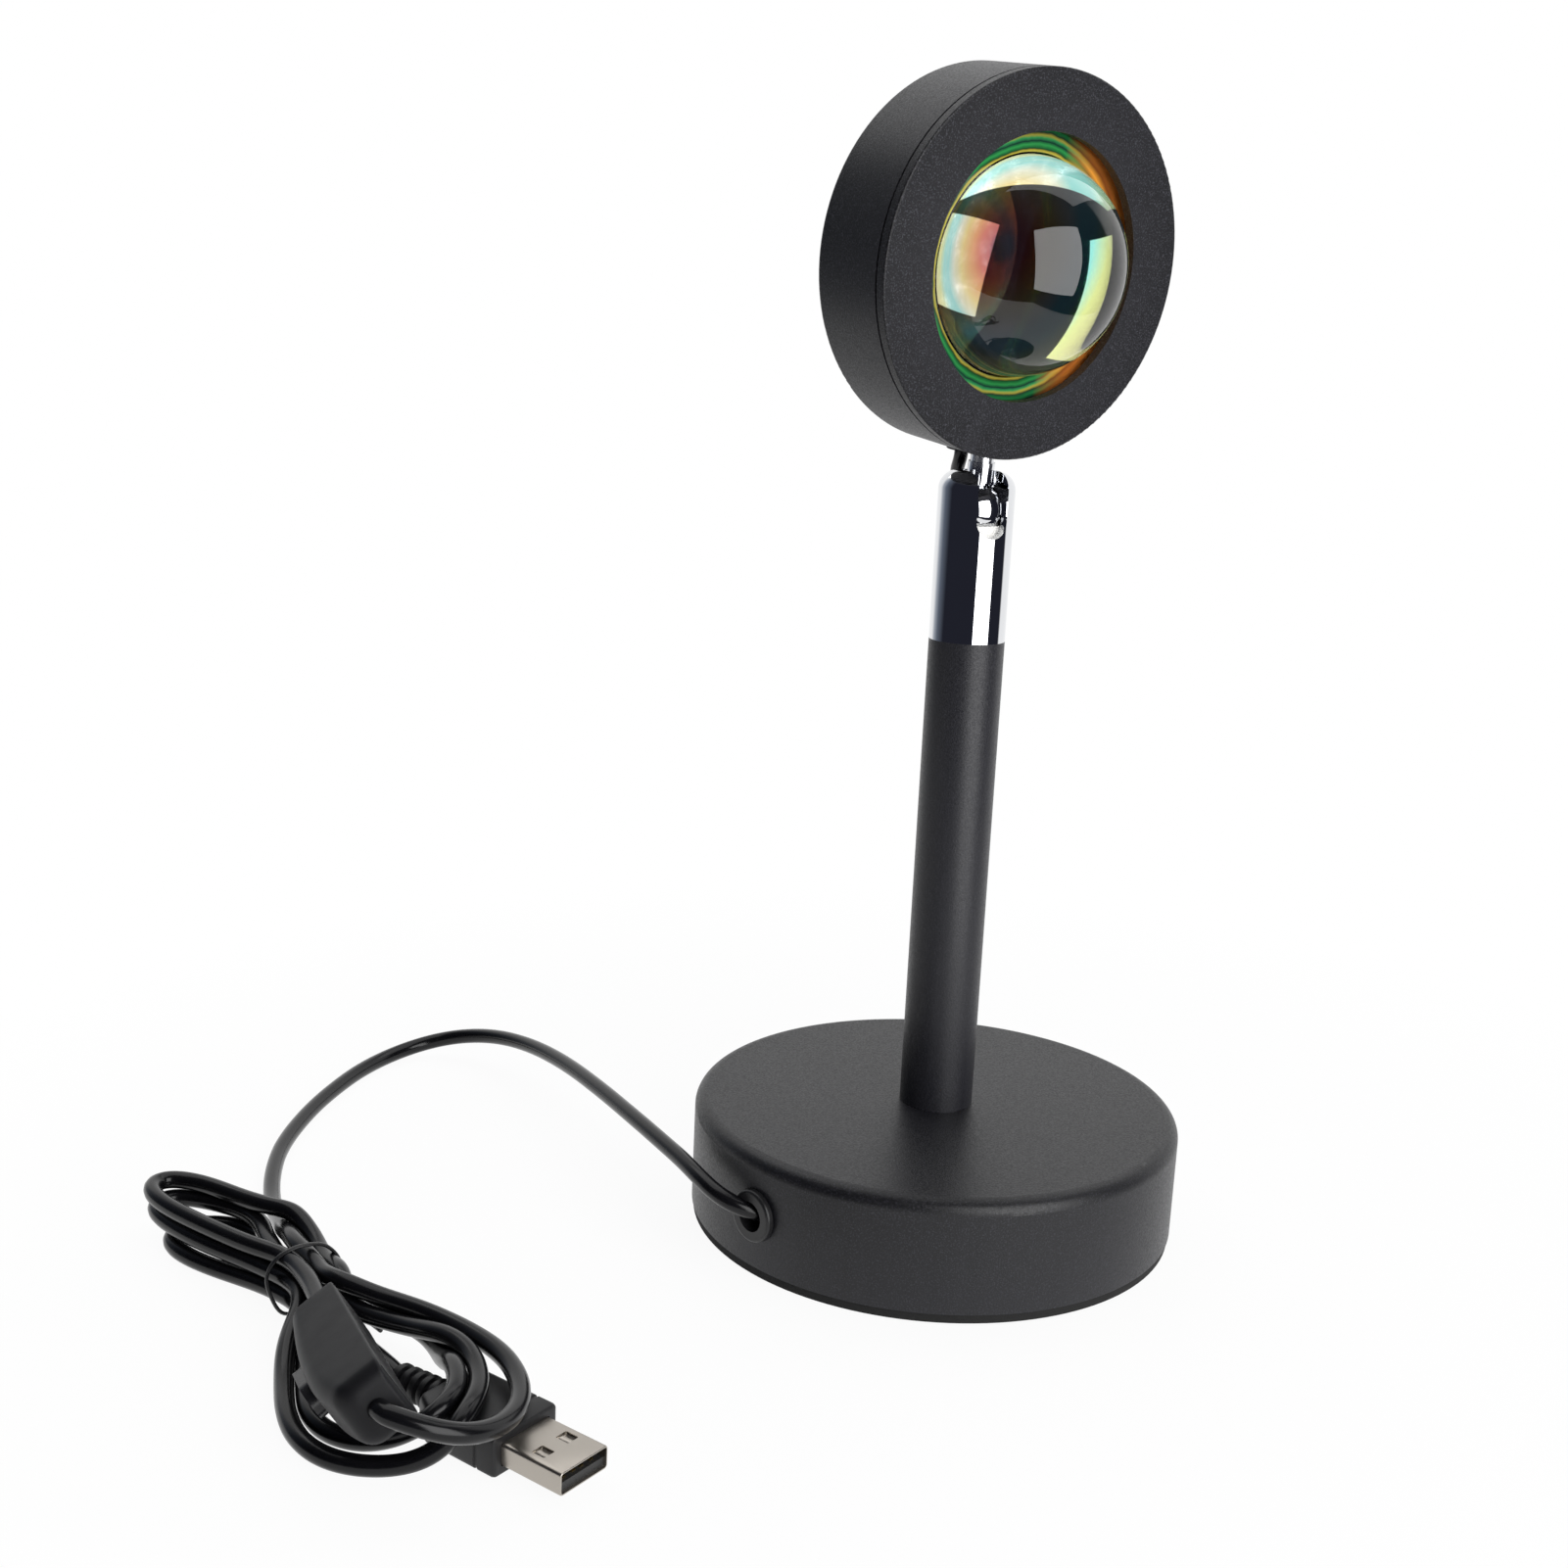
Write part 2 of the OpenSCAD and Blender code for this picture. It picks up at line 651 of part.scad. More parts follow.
// Plano-convex lens: spherical front on a short cylindrical edge
module lens() {
    color("#dfeaf2", 0.5) at_face() rotate_extrude() intersection() {
        union() {
            translate([0, lens_centre]) circle(lens_r, $fn = 180);
            translate([0, lens_rim]) square([lens_d / 2, lens_edge]);
        }
        translate([0, lens_centre - lens_r]) square([lens_d / 2, lens_r - lens_centre + lens_back]);
    }
}

module dichroic_filter() {
    color("#7fb8a8", 0.6) at_face() translate([0, 0, holder_front + holder_gap])
        cylinder(d = filter_d, h = filter_t);
}

// Plastic holder: flange with three lugs, pocket for the filter, light cone
module lens_holder() {
    flange_r = screw_ring_r;
    pocket_r = filter_d / 2 + assembly_gap;
    pocket_z = holder_front + filter_t + 2 * holder_gap;
    flange_z = holder_front + holder_flange_t;
    cone_r = filter_d / 2 - 1;
    collar_z = board_front - 2;
    color("#1b1b1d") at_face() difference() {
        union() {
            rotate_extrude() polygon([
                [pocket_r, holder_front], [flange_r, holder_front], [flange_r, flange_z],
                [cone_r, flange_z], [holder_end_r + holder_wall, collar_z],
                [holder_end_r + holder_wall, board_front], [holder_end_r, board_front],
                [holder_end_r, collar_z], [cone_r - 1.5 * holder_wall, pocket_z],
                [pocket_r, pocket_z]]);
            for (a = screw_angles) rotate([0, 0, a]) translate([screw_ring_r, 0, holder_front])
                cylinder(d = boss_d + 0.6, h = holder_flange_t);
        }
        for (a = screw_angles) rotate([0, 0, a])
            translate([screw_ring_r, 0, holder_front - overlap])
                cylinder(d = ring_screw_d + assembly_gap, h = holder_flange_t + 2 * overlap);
        translate([-stem_nut_af, screw_ring_r - 2, holder_front - overlap])
            cube([2 * stem_nut_af, screw_ring_r, holder_flange_t + 2 * overlap]);
    }
}

module holder_screws() {
    length = 5;
    z = holder_front + holder_flange_t;
    color("#8e9094") at_face() for (a = screw_angles) rotate([0, 0, a])
        translate([screw_ring_r, 0, 0]) {
            translate([0, 0, z - length]) cylinder(d = ring_screw_d - 0.35, h = length + 0.1);
            translate([0, 0, z + 0.02]) cylinder(d = screw_head_d, h = screw_head_t);
        }
}

module led_board() {
    color("#e9eaec") at_face() difference() {
        translate([0, 0, board_front]) cylinder(d = board_d, h = board_t);
        for (x = [-1, 1]) translate([x * (board_d / 2 - 3.2), 0, 0]) cylinder(d = 2.2, h = head_t);
    }
}

module led_emitter() {
    color("#e8d36a") at_face() {
        translate([0, 0, board_front - led_t]) cylinder(d = led_d, h = led_t);
        translate([0, 0, board_front - led_t - 0.5]) cylinder(d = led_d - 2, h = 0.6);
    }
}

module board_screws() {
    color("#8e9094") at_face() for (x = [-1, 1]) translate([x * (board_d / 2 - 3.2), 0, 0]) {
        translate([0, 0, board_front - 0.1]) cylinder(d = 1.5, h = board_t + head_wall * 0.6);
        translate([0, 0, board_front - 1.1]) cylinder(d = 3, h = 1.1);
    }
}

// Two thin wires from the end of the lead up to the board
module led_wires() {
    wire_d = 0.9;
    z0 = stem_depth + lead_back;
    y0 = head_drop - lead_end_at[2];
    color("#a03030") at_face() for (s = [-1, 1])
        tube([[s * 0.7, y0, z0], [s * 0.8, y0 - 3, z0], [s * 1.6, y0 - 7, z0 + 0.8],
              [s * 2.4, board_d / 2 + 4, back_in - 1.2], [s * 2.6, board_d / 2 + 1, board_front - 1],
              [s * 2.6, board_d / 2 - 1.6, board_front - 0.6]], wire_d, 6, [1, 0, 0]);
}

module head_grommet() {
    low = wall_flat - grommet_flange_t + 0.2;
    color("#0d0d0e") at_stem() translate([0, lead_back, 0]) difference() {
        union() {
            translate([0, 0, low]) cylinder(d = grommet_flange_d, h = grommet_flange_t - 0.25);
            translate([0, 0, low]) cylinder(d = grommet_neck_d, h = head_wall + 2.4);
        }
        translate([0, 0, low - overlap]) cylinder(d = lead_d + 2 * fit_gap, h = head_wall + 6);
    }
}

// Place of a head point in the part's frame, for the lead that joins the two
function turn_x(p, a) = [p[0], p[1] * cos(a) - p[2] * sin(a), p[1] * sin(a) + p[2] * cos(a)];
function turn_z(p, a) = [p[0] * cos(a) - p[1] * sin(a), p[0] * sin(a) + p[1] * cos(a), p[2]];
function stem_place(p) =
    turn_z(turn_x(turn_z(p, spin_rest), tilt_rest), slot_az) + [0, 0, ball_z];

module head_lead() {
    into_head = [for (z = [wall_flat - 1.2, wall_flat, lead_end_at[2]])
        stem_place([0, lead_back, z])];
    color("#141414") tube(concat(lead_up, into_head), lead_d, 8, [1, 0, 0]);
}

// ---- Supply cord ---------------------------------------------------------

module cord_arch() { color("#141414") tube(arch_route, cord_d, 8); }

module cord_bight() {
    end_h = switch_end_h[1];
    color("#141414") tube(concat(bight_route, [switch_exit(switch_l, end_h)]), cord_d, 8);
}

module cord_tail() {
    plug_end = [plug_at[0], plug_at[1], 0]
        - (plug_out_l + mould_size[0] + relief_l) * [cos(plug_turn), sin(plug_turn), 0];
    color("#141414") tube(concat(tail_route, [plug_end + [0, 0, plug_at[2]]]), cord_d, 8);
}

module hank_form() {
    linear_extrude(hank_h) difference() {
        chain_outline(hank_spots);
        chain_outline(hank_hollow);
    }
}

// The band of the hank that the tie goes round, less its core
module tie_band(w, t) {
    translate(tie_at) rotate([0, 0, tie_turn]) difference() {
        translate([-tie_band_l / 2, -w / 2, -overlap]) cube([tie_band_l, w, hank_h + 2 * overlap]);
        translate([-hank_spots[3][2] + t, -w, t])
            cube([2 * (hank_spots[3][2] - t), 2 * w, hank_h - 2 * t]);
    }
}

module cord_hank() {
    color("#141414") difference() {
        hank_form();
        tie_band(tie_w + 0.1, tie_t + 0.05);
        at_switch() switch_form(lie_gap);
        at_switch() button_room();
        at_plug() plug_room();
    }
}

module cord_tie() {
    color("#101010") intersection() {
        hank_form();
        tie_band(tie_w, tie_t);
    }
}

// ---- Inline switch: x along its length, -y towards the button ------------

function switch_top(s, lift = 0) =
    switch_end_h[0] + (switch_end_h[1] - switch_end_h[0]) * s + 4 * switch_rise * s * (1 - s) + lift;

function switch_exit(along, end_h) =
    let (c = [along + 0.02, -end_h / 2, 0], r = turn_x(c, switch_lie[0]),
         q = [r[0] * cos(switch_lie[1]) + r[2] * sin(switch_lie[1]), r[1],
              -r[0] * sin(switch_lie[1]) + r[2] * cos(switch_lie[1])])
    turn_z(q, switch_lie[2]) + switch_at;

// Side view, grown by g all round, with its base at y = low
module switch_side(g, low) {
    steps = 14;
    polygon(concat([[-g, low], [switch_l + g, low]],
        [for (i = [steps : -1 : 0]) let (s = i / steps)
            [-g + (switch_l + 2 * g) * s, -switch_top(s) - g]]));
}

// Outer form, grown by g, with its long edges eased
module switch_form(g = 0) {
    ease = 1.2;
    hull() {
        translate([0, 0, -switch_w / 2 - g]) linear_extrude(switch_w + 2 * g)
            switch_side(g - ease, g - ease);
        translate([0, 0, -switch_w / 2 - g + ease]) linear_extrude(switch_w + 2 * g - 2 * ease)
            switch_side(g, g);
    }
}

// Room that the button needs, standing out and pressed
module button_room() {
    translate([switch_l / 2 - button_size[0] / 2 - 1, -switch_top(0.5) - button_proud - 1,
               -button_size[1] / 2 - 1])
        cube([button_size[0] + 2, button_proud + 3, button_size[1] + 2]);
}

module button_outline(g) {
    r = button_size[1] / 2;
    for (s = [-1, 1]) translate([s * (button_size[0] / 2 - r), 0]) circle(r + g);
    square([button_size[0] - 2 * r, 2 * (r + g)], center = true);
}

// Looking down on the switch's curved top: +Z out of the button
module at_button() {
    translate([switch_l / 2, -switch_top(0.5), 0]) rotate([90, 0, 0]) children();
}

module switch_shell() {
    color("#2a2b2f") at_switch() difference() {
        switch_form();
        translate([0, 0, -switch_w / 2 + switch_wall]) linear_extrude(switch_w - 2 * switch_wall)
            switch_side(-switch_wall, overlap);
        at_button() translate([0, 0, -2 * switch_wall]) linear_extrude(4 * switch_wall)
            button_outline(button_gap);
        for (end = [[0, switch_end_h[0]], [switch_l, switch_end_h[1]]])
            translate([end[0], -end[1] / 2, 0]) rotate([0, 90, 0])
                cylinder(d = cord_d + 2 * fit_gap, h = 4 * switch_wall, center = true);
    }
}

module switch_base() {
    gap = 0.1;
    color("#2a2b2f") at_switch()
        translate([switch_wall + gap, -switch_wall, -switch_w / 2 + switch_wall + gap])
            cube([switch_l - 2 * (switch_wall + gap), switch_wall,
                  switch_w - 2 * (switch_wall + gap)]);
}

module switch_button() {
    color("#1d1e20") at_switch() at_button()
        translate([0, 0, -button_deep]) linear_extrude(button_deep + button_proud)
            button_outline(0);
}

// Latching contact block under the button, with its two solder strips
module switch_contacts() {
    block = [10, switch_top(0.5) - button_deep - button_travel - 0.3 - switch_wall, 6];
    color("#c08a3e") at_switch() {
        translate([switch_l / 2 - block[0] / 2, -switch_wall - block[1], -block[2] / 2]) cube(block);
        for (s = [-1, 1]) translate([switch_l / 2 + s * 9 - 4.2, -switch_wall - 1.2, -2])
            cube([8.4, 0.5, 4]);
    }
}

// ---- Plug: x out of its mouth --------------------------------------------

module plug_room() {
    g = lie_gap;
    translate([-plug_out_l - mould_size[0] - g, -mould_size[1] / 2 - g, -mould_size[2] / 2 - overlap])
        cube([mould_size[0] + plug_out_l + 2 * g + 20, mould_size[1] + 2 * g,
              mould_size[2] + overlap + g]);
    translate([-plug_out_l - mould_size[0] - relief_l - g, -3.4 - g, -mould_size[2] / 2 - overlap])
        cube([relief_l + 2 * g, 6.8 + 2 * g, mould_size[2] / 2 + overlap + 3.4 + g]);
}

module plug_mould() {
    front = -plug_out_l;
    core = [plug_size[0] + 2 * fit_gap, plug_size[1] + 2 * fit_gap];
    narrow = 1.6;
    color("#1d1e20") at_plug() difference() {
        union() {
            translate([front - mould_size[0], 0, -mould_size[2] / 2]) linear_extrude(mould_size[2])
                polygon([[0, -mould_size[1] / 2 + narrow], [4, -mould_size[1] / 2],
                         [mould_size[0], -mould_size[1] / 2], [mould_size[0], mould_size[1] / 2],
                         [4, mould_size[1] / 2], [0, mould_size[1] / 2 - narrow]]);
        }
        translate([front - 4.05, -core[0] / 2, -core[1] / 2]) cube([10, core[0], core[1]]);
    }
}

// Ribbed, tapering strain relief on the back of the overmould
module plug_relief() {
    back = -plug_out_l - mould_size[0];
    ribs = 5;
    pitch = relief_l / ribs;
    color("#1d1e20") at_plug() translate([back, 0, 0]) rotate([0, -90, 0]) difference() {
        union() {
            cylinder(d1 = 5.8, d2 = 4.8, h = relief_l);
            for (i = [0 : ribs - 1]) translate([0, 0, i * pitch])
                cylinder(d = 6.8 - 0.2 * i, h = pitch * 0.55);
        }
        translate([0, 0, -overlap]) cylinder(d = cord_d + 2 * fit_gap, h = relief_l + 2 * overlap);
    }
}

// Folded sheet shell with two latch windows in each broad side
module plug_shell() {
    w = plug_size[0];
    h = plug_size[1];
    back = -plug_out_l - 4;
    color("#c9c7bf") at_plug() difference() {
        translate([back, -w / 2, -h / 2]) cube([-back, w, h]);
        translate([back - overlap, -w / 2 + plug_sheet, -h / 2 + plug_sheet])
            cube([2 * overlap - back, w - 2 * plug_sheet, h - 2 * plug_sheet]);
        for (s = [-1, 1]) translate([-8.2, s * 2.75 - 1.1, -h])
            cube([2.6, 2.2, 2 * h]);
    }
}

// Insulating tongue in the lower half of the shell
module plug_tongue() {
    h = plug_size[1];
    w = plug_size[0] - 2 * plug_sheet - 0.1;
    color("#22201f") at_plug() {
        translate([-plug_out_l - 3.9, -w / 2, -h / 2 + plug_sheet + 0.02]) cube([plug_out_l + 3.2, w, 1.7]);
        translate([-plug_out_l - 3.9, -w / 2, -h / 2 + plug_sheet + 0.02])
            cube([3.5, w, h - 2 * plug_sheet - 0.05]);
    }
}

module plug_contacts() {
    color("#c9a24a") at_plug() for (y = [-3.5, -1, 1, 3.5])
        translate([-9.6, y - 0.5, -plug_size[1] / 2 + plug_sheet + 1.74]) cube([8, 1, 0.15]);
}

base_shell();
base_ballast();
foot_pad();
outlet_grommet();
base_washer();
base_nut();
pole_nipple();
pole_bush();
pole();
joint_tube();
spring_plug();
joint_spring();
thrust_cup();
lead_bush();
inner_lead();
joint_ball();
stem();
stem_nut();
stem_washer();
head_housing();
front_ring();
lens_gasket();
lens();
dichroic_filter();
lens_holder();
holder_screws();
led_board();
led_emitter();
board_screws();
led_wires();
head_grommet();
head_lead();
cord_arch();
cord_hank();
cord_bight();
cord_tail();
cord_tie();
switch_shell();
switch_base();
switch_button();
switch_contacts();
plug_mould();
plug_relief();
plug_shell();
plug_tongue();
plug_contacts();
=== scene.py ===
import bpy
import json
import math
import numpy as np
from mathutils import Matrix, Vector


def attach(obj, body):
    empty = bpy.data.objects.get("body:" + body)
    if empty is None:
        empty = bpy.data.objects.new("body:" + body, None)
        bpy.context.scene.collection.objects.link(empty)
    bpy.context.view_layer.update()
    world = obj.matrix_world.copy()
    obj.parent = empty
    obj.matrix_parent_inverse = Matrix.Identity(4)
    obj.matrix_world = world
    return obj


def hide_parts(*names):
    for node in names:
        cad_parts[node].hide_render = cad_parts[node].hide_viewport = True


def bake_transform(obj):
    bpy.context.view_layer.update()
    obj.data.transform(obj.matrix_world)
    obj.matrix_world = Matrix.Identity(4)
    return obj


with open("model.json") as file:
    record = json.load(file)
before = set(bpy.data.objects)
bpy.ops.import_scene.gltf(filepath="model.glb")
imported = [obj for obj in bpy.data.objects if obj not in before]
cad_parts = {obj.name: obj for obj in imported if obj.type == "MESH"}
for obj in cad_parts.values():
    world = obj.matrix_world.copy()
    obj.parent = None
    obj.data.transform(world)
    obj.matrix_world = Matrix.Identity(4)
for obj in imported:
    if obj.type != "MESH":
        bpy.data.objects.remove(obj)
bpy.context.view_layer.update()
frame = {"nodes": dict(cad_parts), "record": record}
NODES = frame["nodes"]
MM = 0.001


# ---- Small helpers ----------------------------------------------------------

def rot(axis, degrees):
    return np.array(Matrix.Rotation(math.radians(degrees), 3, axis))


def resample(points, step):
    """Centripetal spline through the points, cut into equal steps."""
    p = np.array(points, float)
    q = np.vstack([2 * p[0] - p[1], p, 2 * p[-1] - p[-2]])
    out = []
    for i in range(1, len(p)):
        a, b, c, d = q[i - 1], q[i], q[i + 1], q[i + 2]
        t1 = np.linalg.norm(b - a) ** 0.5
        t2 = t1 + np.linalg.norm(c - b) ** 0.5
        t3 = t2 + np.linalg.norm(d - c) ** 0.5
        for t in np.linspace(t1, t2, 12, endpoint=False):
            e = a + (b - a) * t / t1
            f = b + (c - b) * (t - t1) / (t2 - t1)
            g = c + (d - c) * (t - t2) / (t3 - t2)
            h = e + (f - e) * t / t2
            k = f + (g - f) * (t - t1) / (t3 - t1)
            out.append(h + (k - h) * (t - t1) / (t2 - t1))
    out = np.array(out + [p[-1]])
    run = np.concatenate([[0], np.cumsum(np.linalg.norm(np.diff(out, axis=0), axis=1))])
    at = np.linspace(0, run[-1], int(round(run[-1] / step)) + 1)
    return np.stack([np.interp(at, run, out[:, k]) for k in range(3)], 1)


def mesh_object(name, verts, faces, smooth=True):
    mesh = bpy.data.meshes.new(name)
    mesh.from_pydata([tuple(v) for v in verts], [], faces)
    mesh.validate()
    obj = bpy.data.objects.new(name, mesh)
    bpy.context.scene.collection.objects.link(obj)
    if smooth:
        mesh.shade_smooth()
    return obj


def rings_object(name, rings, closed=False):
    """Skin over rings of points, all with the same count, capped unless closed."""
    n, m = len(rings), len(rings[0])
    verts = [p for ring in rings for p in ring]
    faces = []
    for i in range(n if closed else n - 1):
        a, b = i * m, (i + 1) % n * m
        faces += [(a + k, a + (k + 1) % m, b + (k + 1) % m, b + k) for k in range(m)]
    if not closed:
        faces += [tuple(range(m - 1, -1, -1)), tuple(range((n - 1) * m, n * m))]
    return mesh_object(name, verts, faces)


def fill_ramp(node, stops):
    """Sets a colour ramp's stops, each a place with a colour or a grey."""
    while len(node.color_ramp.elements) < len(stops):
        node.color_ramp.elements.new(0.5)
    for e, (at, col) in zip(node.color_ramp.elements, stops):
        e.position = at
        e.color = (*col, 1) if isinstance(col, tuple) else (col, col, col, 1)


# ---- Camera -----------------------------------------------------------------

# Solved from the outline of the base and the edges of the pole in the photo; its
# turn about the pole comes from the fit of the head. Millimetres and radians.
CAMERA_AT = (-274.44, -316.64, 196.04)
RIGHT_OF_VIEW = np.array([0.8121, -0.5835])
AHEAD = np.array([0.5835, 0.8121])
PITCH_DOWN, ROLL = 0.22827, -0.04712
FOCAL_PX, PHOTO_PX = 1979.42, 1601
SENSOR_MM = 36


def make_camera():
    cp, sp = math.cos(PITCH_DOWN), math.sin(PITCH_DOWN)
    right = Vector((*RIGHT_OF_VIEW, 0)).normalized()
    fwd = Vector((AHEAD[0] * cp, AHEAD[1] * cp, -sp)).normalized()
    down = fwd.cross(right)
    cr, sr = math.cos(ROLL), math.sin(ROLL)
    image_right = cr * right + sr * down
    image_down = -sr * right + cr * down
    data = bpy.data.cameras.new("camera")
    data.sensor_width = SENSOR_MM
    data.lens = FOCAL_PX / PHOTO_PX * SENSOR_MM
    data.clip_start = 0.01
    obj = bpy.data.objects.new("camera", data)
    bpy.context.scene.collection.objects.link(obj)
    turn = Matrix((image_right, -image_down, -fwd)).transposed()
    obj.matrix_world = Matrix.Translation(Vector(CAMERA_AT) * MM) @ turn.to_4x4()
    bpy.context.scene.camera = obj


make_camera()


# ---- Supply cord: two lengths, all in millimetres until the curve is made ----

CORD_D = 3.8
SWITCH_TURN = rot("Z", -102) @ rot("Y", -9) @ rot("X", 32.5)
SWITCH_AT = np.array([-143, -0.9, 14.4])
SWITCH_L, SWITCH_W, SWITCH_END_H, SWITCH_RISE = 46.5, 13.0, (9.7, 9.0), 3.0
PLUG_AT = np.array([-124, -58, 4.0])
PLUG_TURN = rot("Z", -72)
TIE_AT = np.array([-140.2, 29.3])
TIE_ALONG = np.array([0.25, -0.968])
TIE_ACROSS = np.array([0.968, 0.25])
LOW_LEFT, LEFT, TOP_LEFT = (-4.2, 2.75), (-4.2, 6.6), (-2.6, 10.2)
TOP_RIGHT, RIGHT, MIDDLE, LOW_RIGHT = (1.6, 10), (4.2, 7), (-0.2, 6.4), (1.4, 2.75)


def on_switch(x, y, z=0.0):
    return (SWITCH_AT + SWITCH_TURN @ np.array([x, y, z], float)).tolist()


def on_plug(x, y, z=0.0):
    return (PLUG_AT + PLUG_TURN @ np.array([x, y, z], float)).tolist()


def in_tie(place, along):
    p = TIE_AT + place[0] * TIE_ACROSS + along * TIE_ALONG
    return [p[0], p[1], place[1]]


# Route points in millimetres. They began as spots picked in the photo, each
# with a height chosen for it, that were put through the camera above.
ARCH = [
    [-51, -7.9, 13.4], [-53.5, -7.4, 14], [-56, -6.8, 14.7], [-58.2, -5.4, 15.6],
    [-59.8, -2.8, 16.8], [-60.3, 1.4, 17.9], [-59.8, 7.6, 18.5], [-58.6, 15.5, 18.6],
    [-57.4, 25, 18.4], [-55.8, 35.5, 18], [-54.2, 46, 17.4], [-52.4, 57, 16.7],
    [-50.6, 69, 15.8], [-48.9, 80.5, 14.8], [-47.6, 92, 13.6], [-46.8, 103.5, 12.2],
    [-46.9, 114.5, 10.6], [-48.4, 125, 8.8], [-51.5, 133.5, 6.8], [-56, 139.5, 4.9],
    [-62, 142.5, 3.2], [-69.5, 142, 2.2], [-77.5, 138.5, 1.9], [-86, 132.8, 1.9],
    [-94, 126, 1.9], [-101.5, 119, 1.9], [-108.5, 111.2, 1.9], [-114.5, 103.8, 1.9],
    [-119.5, 96.5, 1.9], [-124, 88, 1.9], [-127.6, 80, 1.9], [-130, 73, 2],
    [-131.6, 68, 2.5], [-133, 62.5, 3.4], [-134.6, 56, 5.2], [-136, 50, 7.2],
    [-137.3, 43.5, 9.2], in_tie(TOP_RIGHT, -5), in_tie(TOP_RIGHT, 1),
]
LOOP_1 = [
    [-139.9, 20.5, 9.2], [-136.5, 12.5, 9.2], [-133.3, 5.8, 9.3], [-130.2, -1.1, 9.6],
    [-127.4, -8.2, 9.9], [-125.2, -15.3, 10.2], [-124, -21.9, 10.6], [-124, -29.4, 10.9],
    [-125.6, -36.8, 11.1], [-128.4, -42.9, 11.4], [-132.3, -47.7, 12], [-137.1, -51.3, 13],
    [-141.8, -53.2, 14.2], [-146.5, -54.1, 15.8], [-150.2, -52.9, 17.4],
    [-152.9, -51.2, 18.6], [-156, -49, 19.5], on_switch(SWITCH_L, -4.5),
]
LOBE_A = [
    on_switch(0, -4.85), on_switch(-5, -4.85), in_tie((-6, 10.8), 11),
    in_tie((-3.4, 10.4), 4), in_tie(TOP_LEFT, -2), [-146.6, 35.5, 10.1],
    [-149.5, 43.1, 10.3], [-152.5, 51, 10.4], [-155.5, 60.6, 10.4], [-157.2, 69.4, 10.4],
    [-156.7, 75.5, 10.4], [-153.7, 78.4, 10.3], [-149.8, 76.8, 10.1], [-145.7, 70.9, 9.9],
    [-142.1, 63.9, 9.6], [-139, 56, 9.2], [-135.7, 48.8, 8.7], [-133.8, 42.1, 8.2],
    [-133.6, 36.1, 7.4], in_tie(RIGHT, 1),
]
LOOP_2 = [
    in_tie(RIGHT, 5), [-137.2, 10.3, 6.6], [-133.9, 3, 7], [-131, -5.1, 7.8],
    [-129.7, -15.2, 9], [-129.6, -22.7, 9.8], [-130.8, -28.8, 10], [-133.4, -35, 10],
    [-136.7, -39.7, 10], [-140.4, -42.8, 8.6], [-143.9, -42.1, 5], [-148.1, -38.4, 2.4],
    [-152.4, -35.7, 2], [-156.5, -32.8, 2], [-159.7, -27.4, 2], [-160.8, -21.1, 2],
    [-160, -14.2, 2], [-156.9, -6.5, 2], [-153.4, 1, 2.2], [-150.8, 7.9, 3.4],
    in_tie(LEFT, 6), in_tie(LEFT, 0),
]
LOBE_B = [
    in_tie(LEFT, -5), [-148.6, 41.8, 6.5], [-151.1, 47.2, 6.5], [-154.1, 55.3, 6.5],
    [-155.7, 62.8, 6.4], [-156.9, 70.7, 6.4], [-155, 76.5, 6.3], [-150.7, 76.9, 6.2],
    [-146.7, 72.6, 6.2], [-142.7, 66.7, 6.2], [-139.1, 59.8, 6.3], in_tie(MIDDLE, -6),
]
LOOP_3 = [
    in_tie(MIDDLE, 2), in_tie((2.5, 6.6), 7), [-134.2, 10.7, 5.4], [-130.5, 2.7, 5.6],
    [-129.3, -7.9, 7], [-130.3, -19.4, 9.2], [-132.3, -28.3, 10], [-135.5, -33.3, 10],
    [-139.4, -36.4, 9.9], [-143.4, -37.4, 8.6], [-147.6, -33.2, 5], [-151.1, -28.7, 2.4],
    [-154.7, -24, 2], [-156.4, -17.9, 2], [-155.8, -10.7, 2], [-153.4, -2.7, 2],
    [-150.9, 5.5, 2.3], in_tie(LOW_LEFT, 7), in_tie(LOW_LEFT, 0),
]
LOBE_C = [
    in_tie(LOW_LEFT, -5), [-149.2, 42.9, 2], [-152.6, 49.7, 2], [-155, 56.4, 2],
    [-156.3, 62.6, 2], [-155, 67.6, 2], [-151.2, 69.7, 2], [-146.6, 68.8, 2],
    [-141.9, 65, 2], [-138.8, 59, 2.2], in_tie(LOW_RIGHT, -6),
]
TAIL = [
    in_tie(LOW_RIGHT, 2), in_tie((0.4, 2.75), 8), [-138.9, 10, 2.4], [-138.6, -2, 3.2],
    [-138.5, -9, 4], on_plug(-47, 0),
]


# The switch, the overmould and its relief: place, turn, lowest and highest corner
SOLID_BOXES = (
    (SWITCH_AT, SWITCH_TURN, np.array([0, -12.0, -6.5]), np.array([SWITCH_L, 0, 6.5])),
    (PLUG_AT, PLUG_TURN, np.array([-35, -8, -4.0]), np.array([-14, 8, 4.0])),
    (PLUG_AT, PLUG_TURN, np.array([-46.5, -3, -4.0]), np.array([-35, 3, 3.0])),
)


def pushed_out(x, at, turn, low, high, reach):
    """Points nearer to a box than reach move out to its skin."""
    q = (x - at) @ turn
    near = np.clip(q, low, high)
    away = q - near
    dist = np.linalg.norm(away, axis=1)
    out = (dist > 1e-9) & (dist < reach)
    q[out] = near[out] + away[out] / dist[out, None] * reach
    for k in np.where(dist <= 1e-9)[0]:
        room = np.concatenate([q[k] - low, high - q[k]])
        m = int(np.argmin(room))
        q[k, m % 3] = low[m] - reach if m < 3 else high[m - 3] + reach
    return at + q @ turn.T


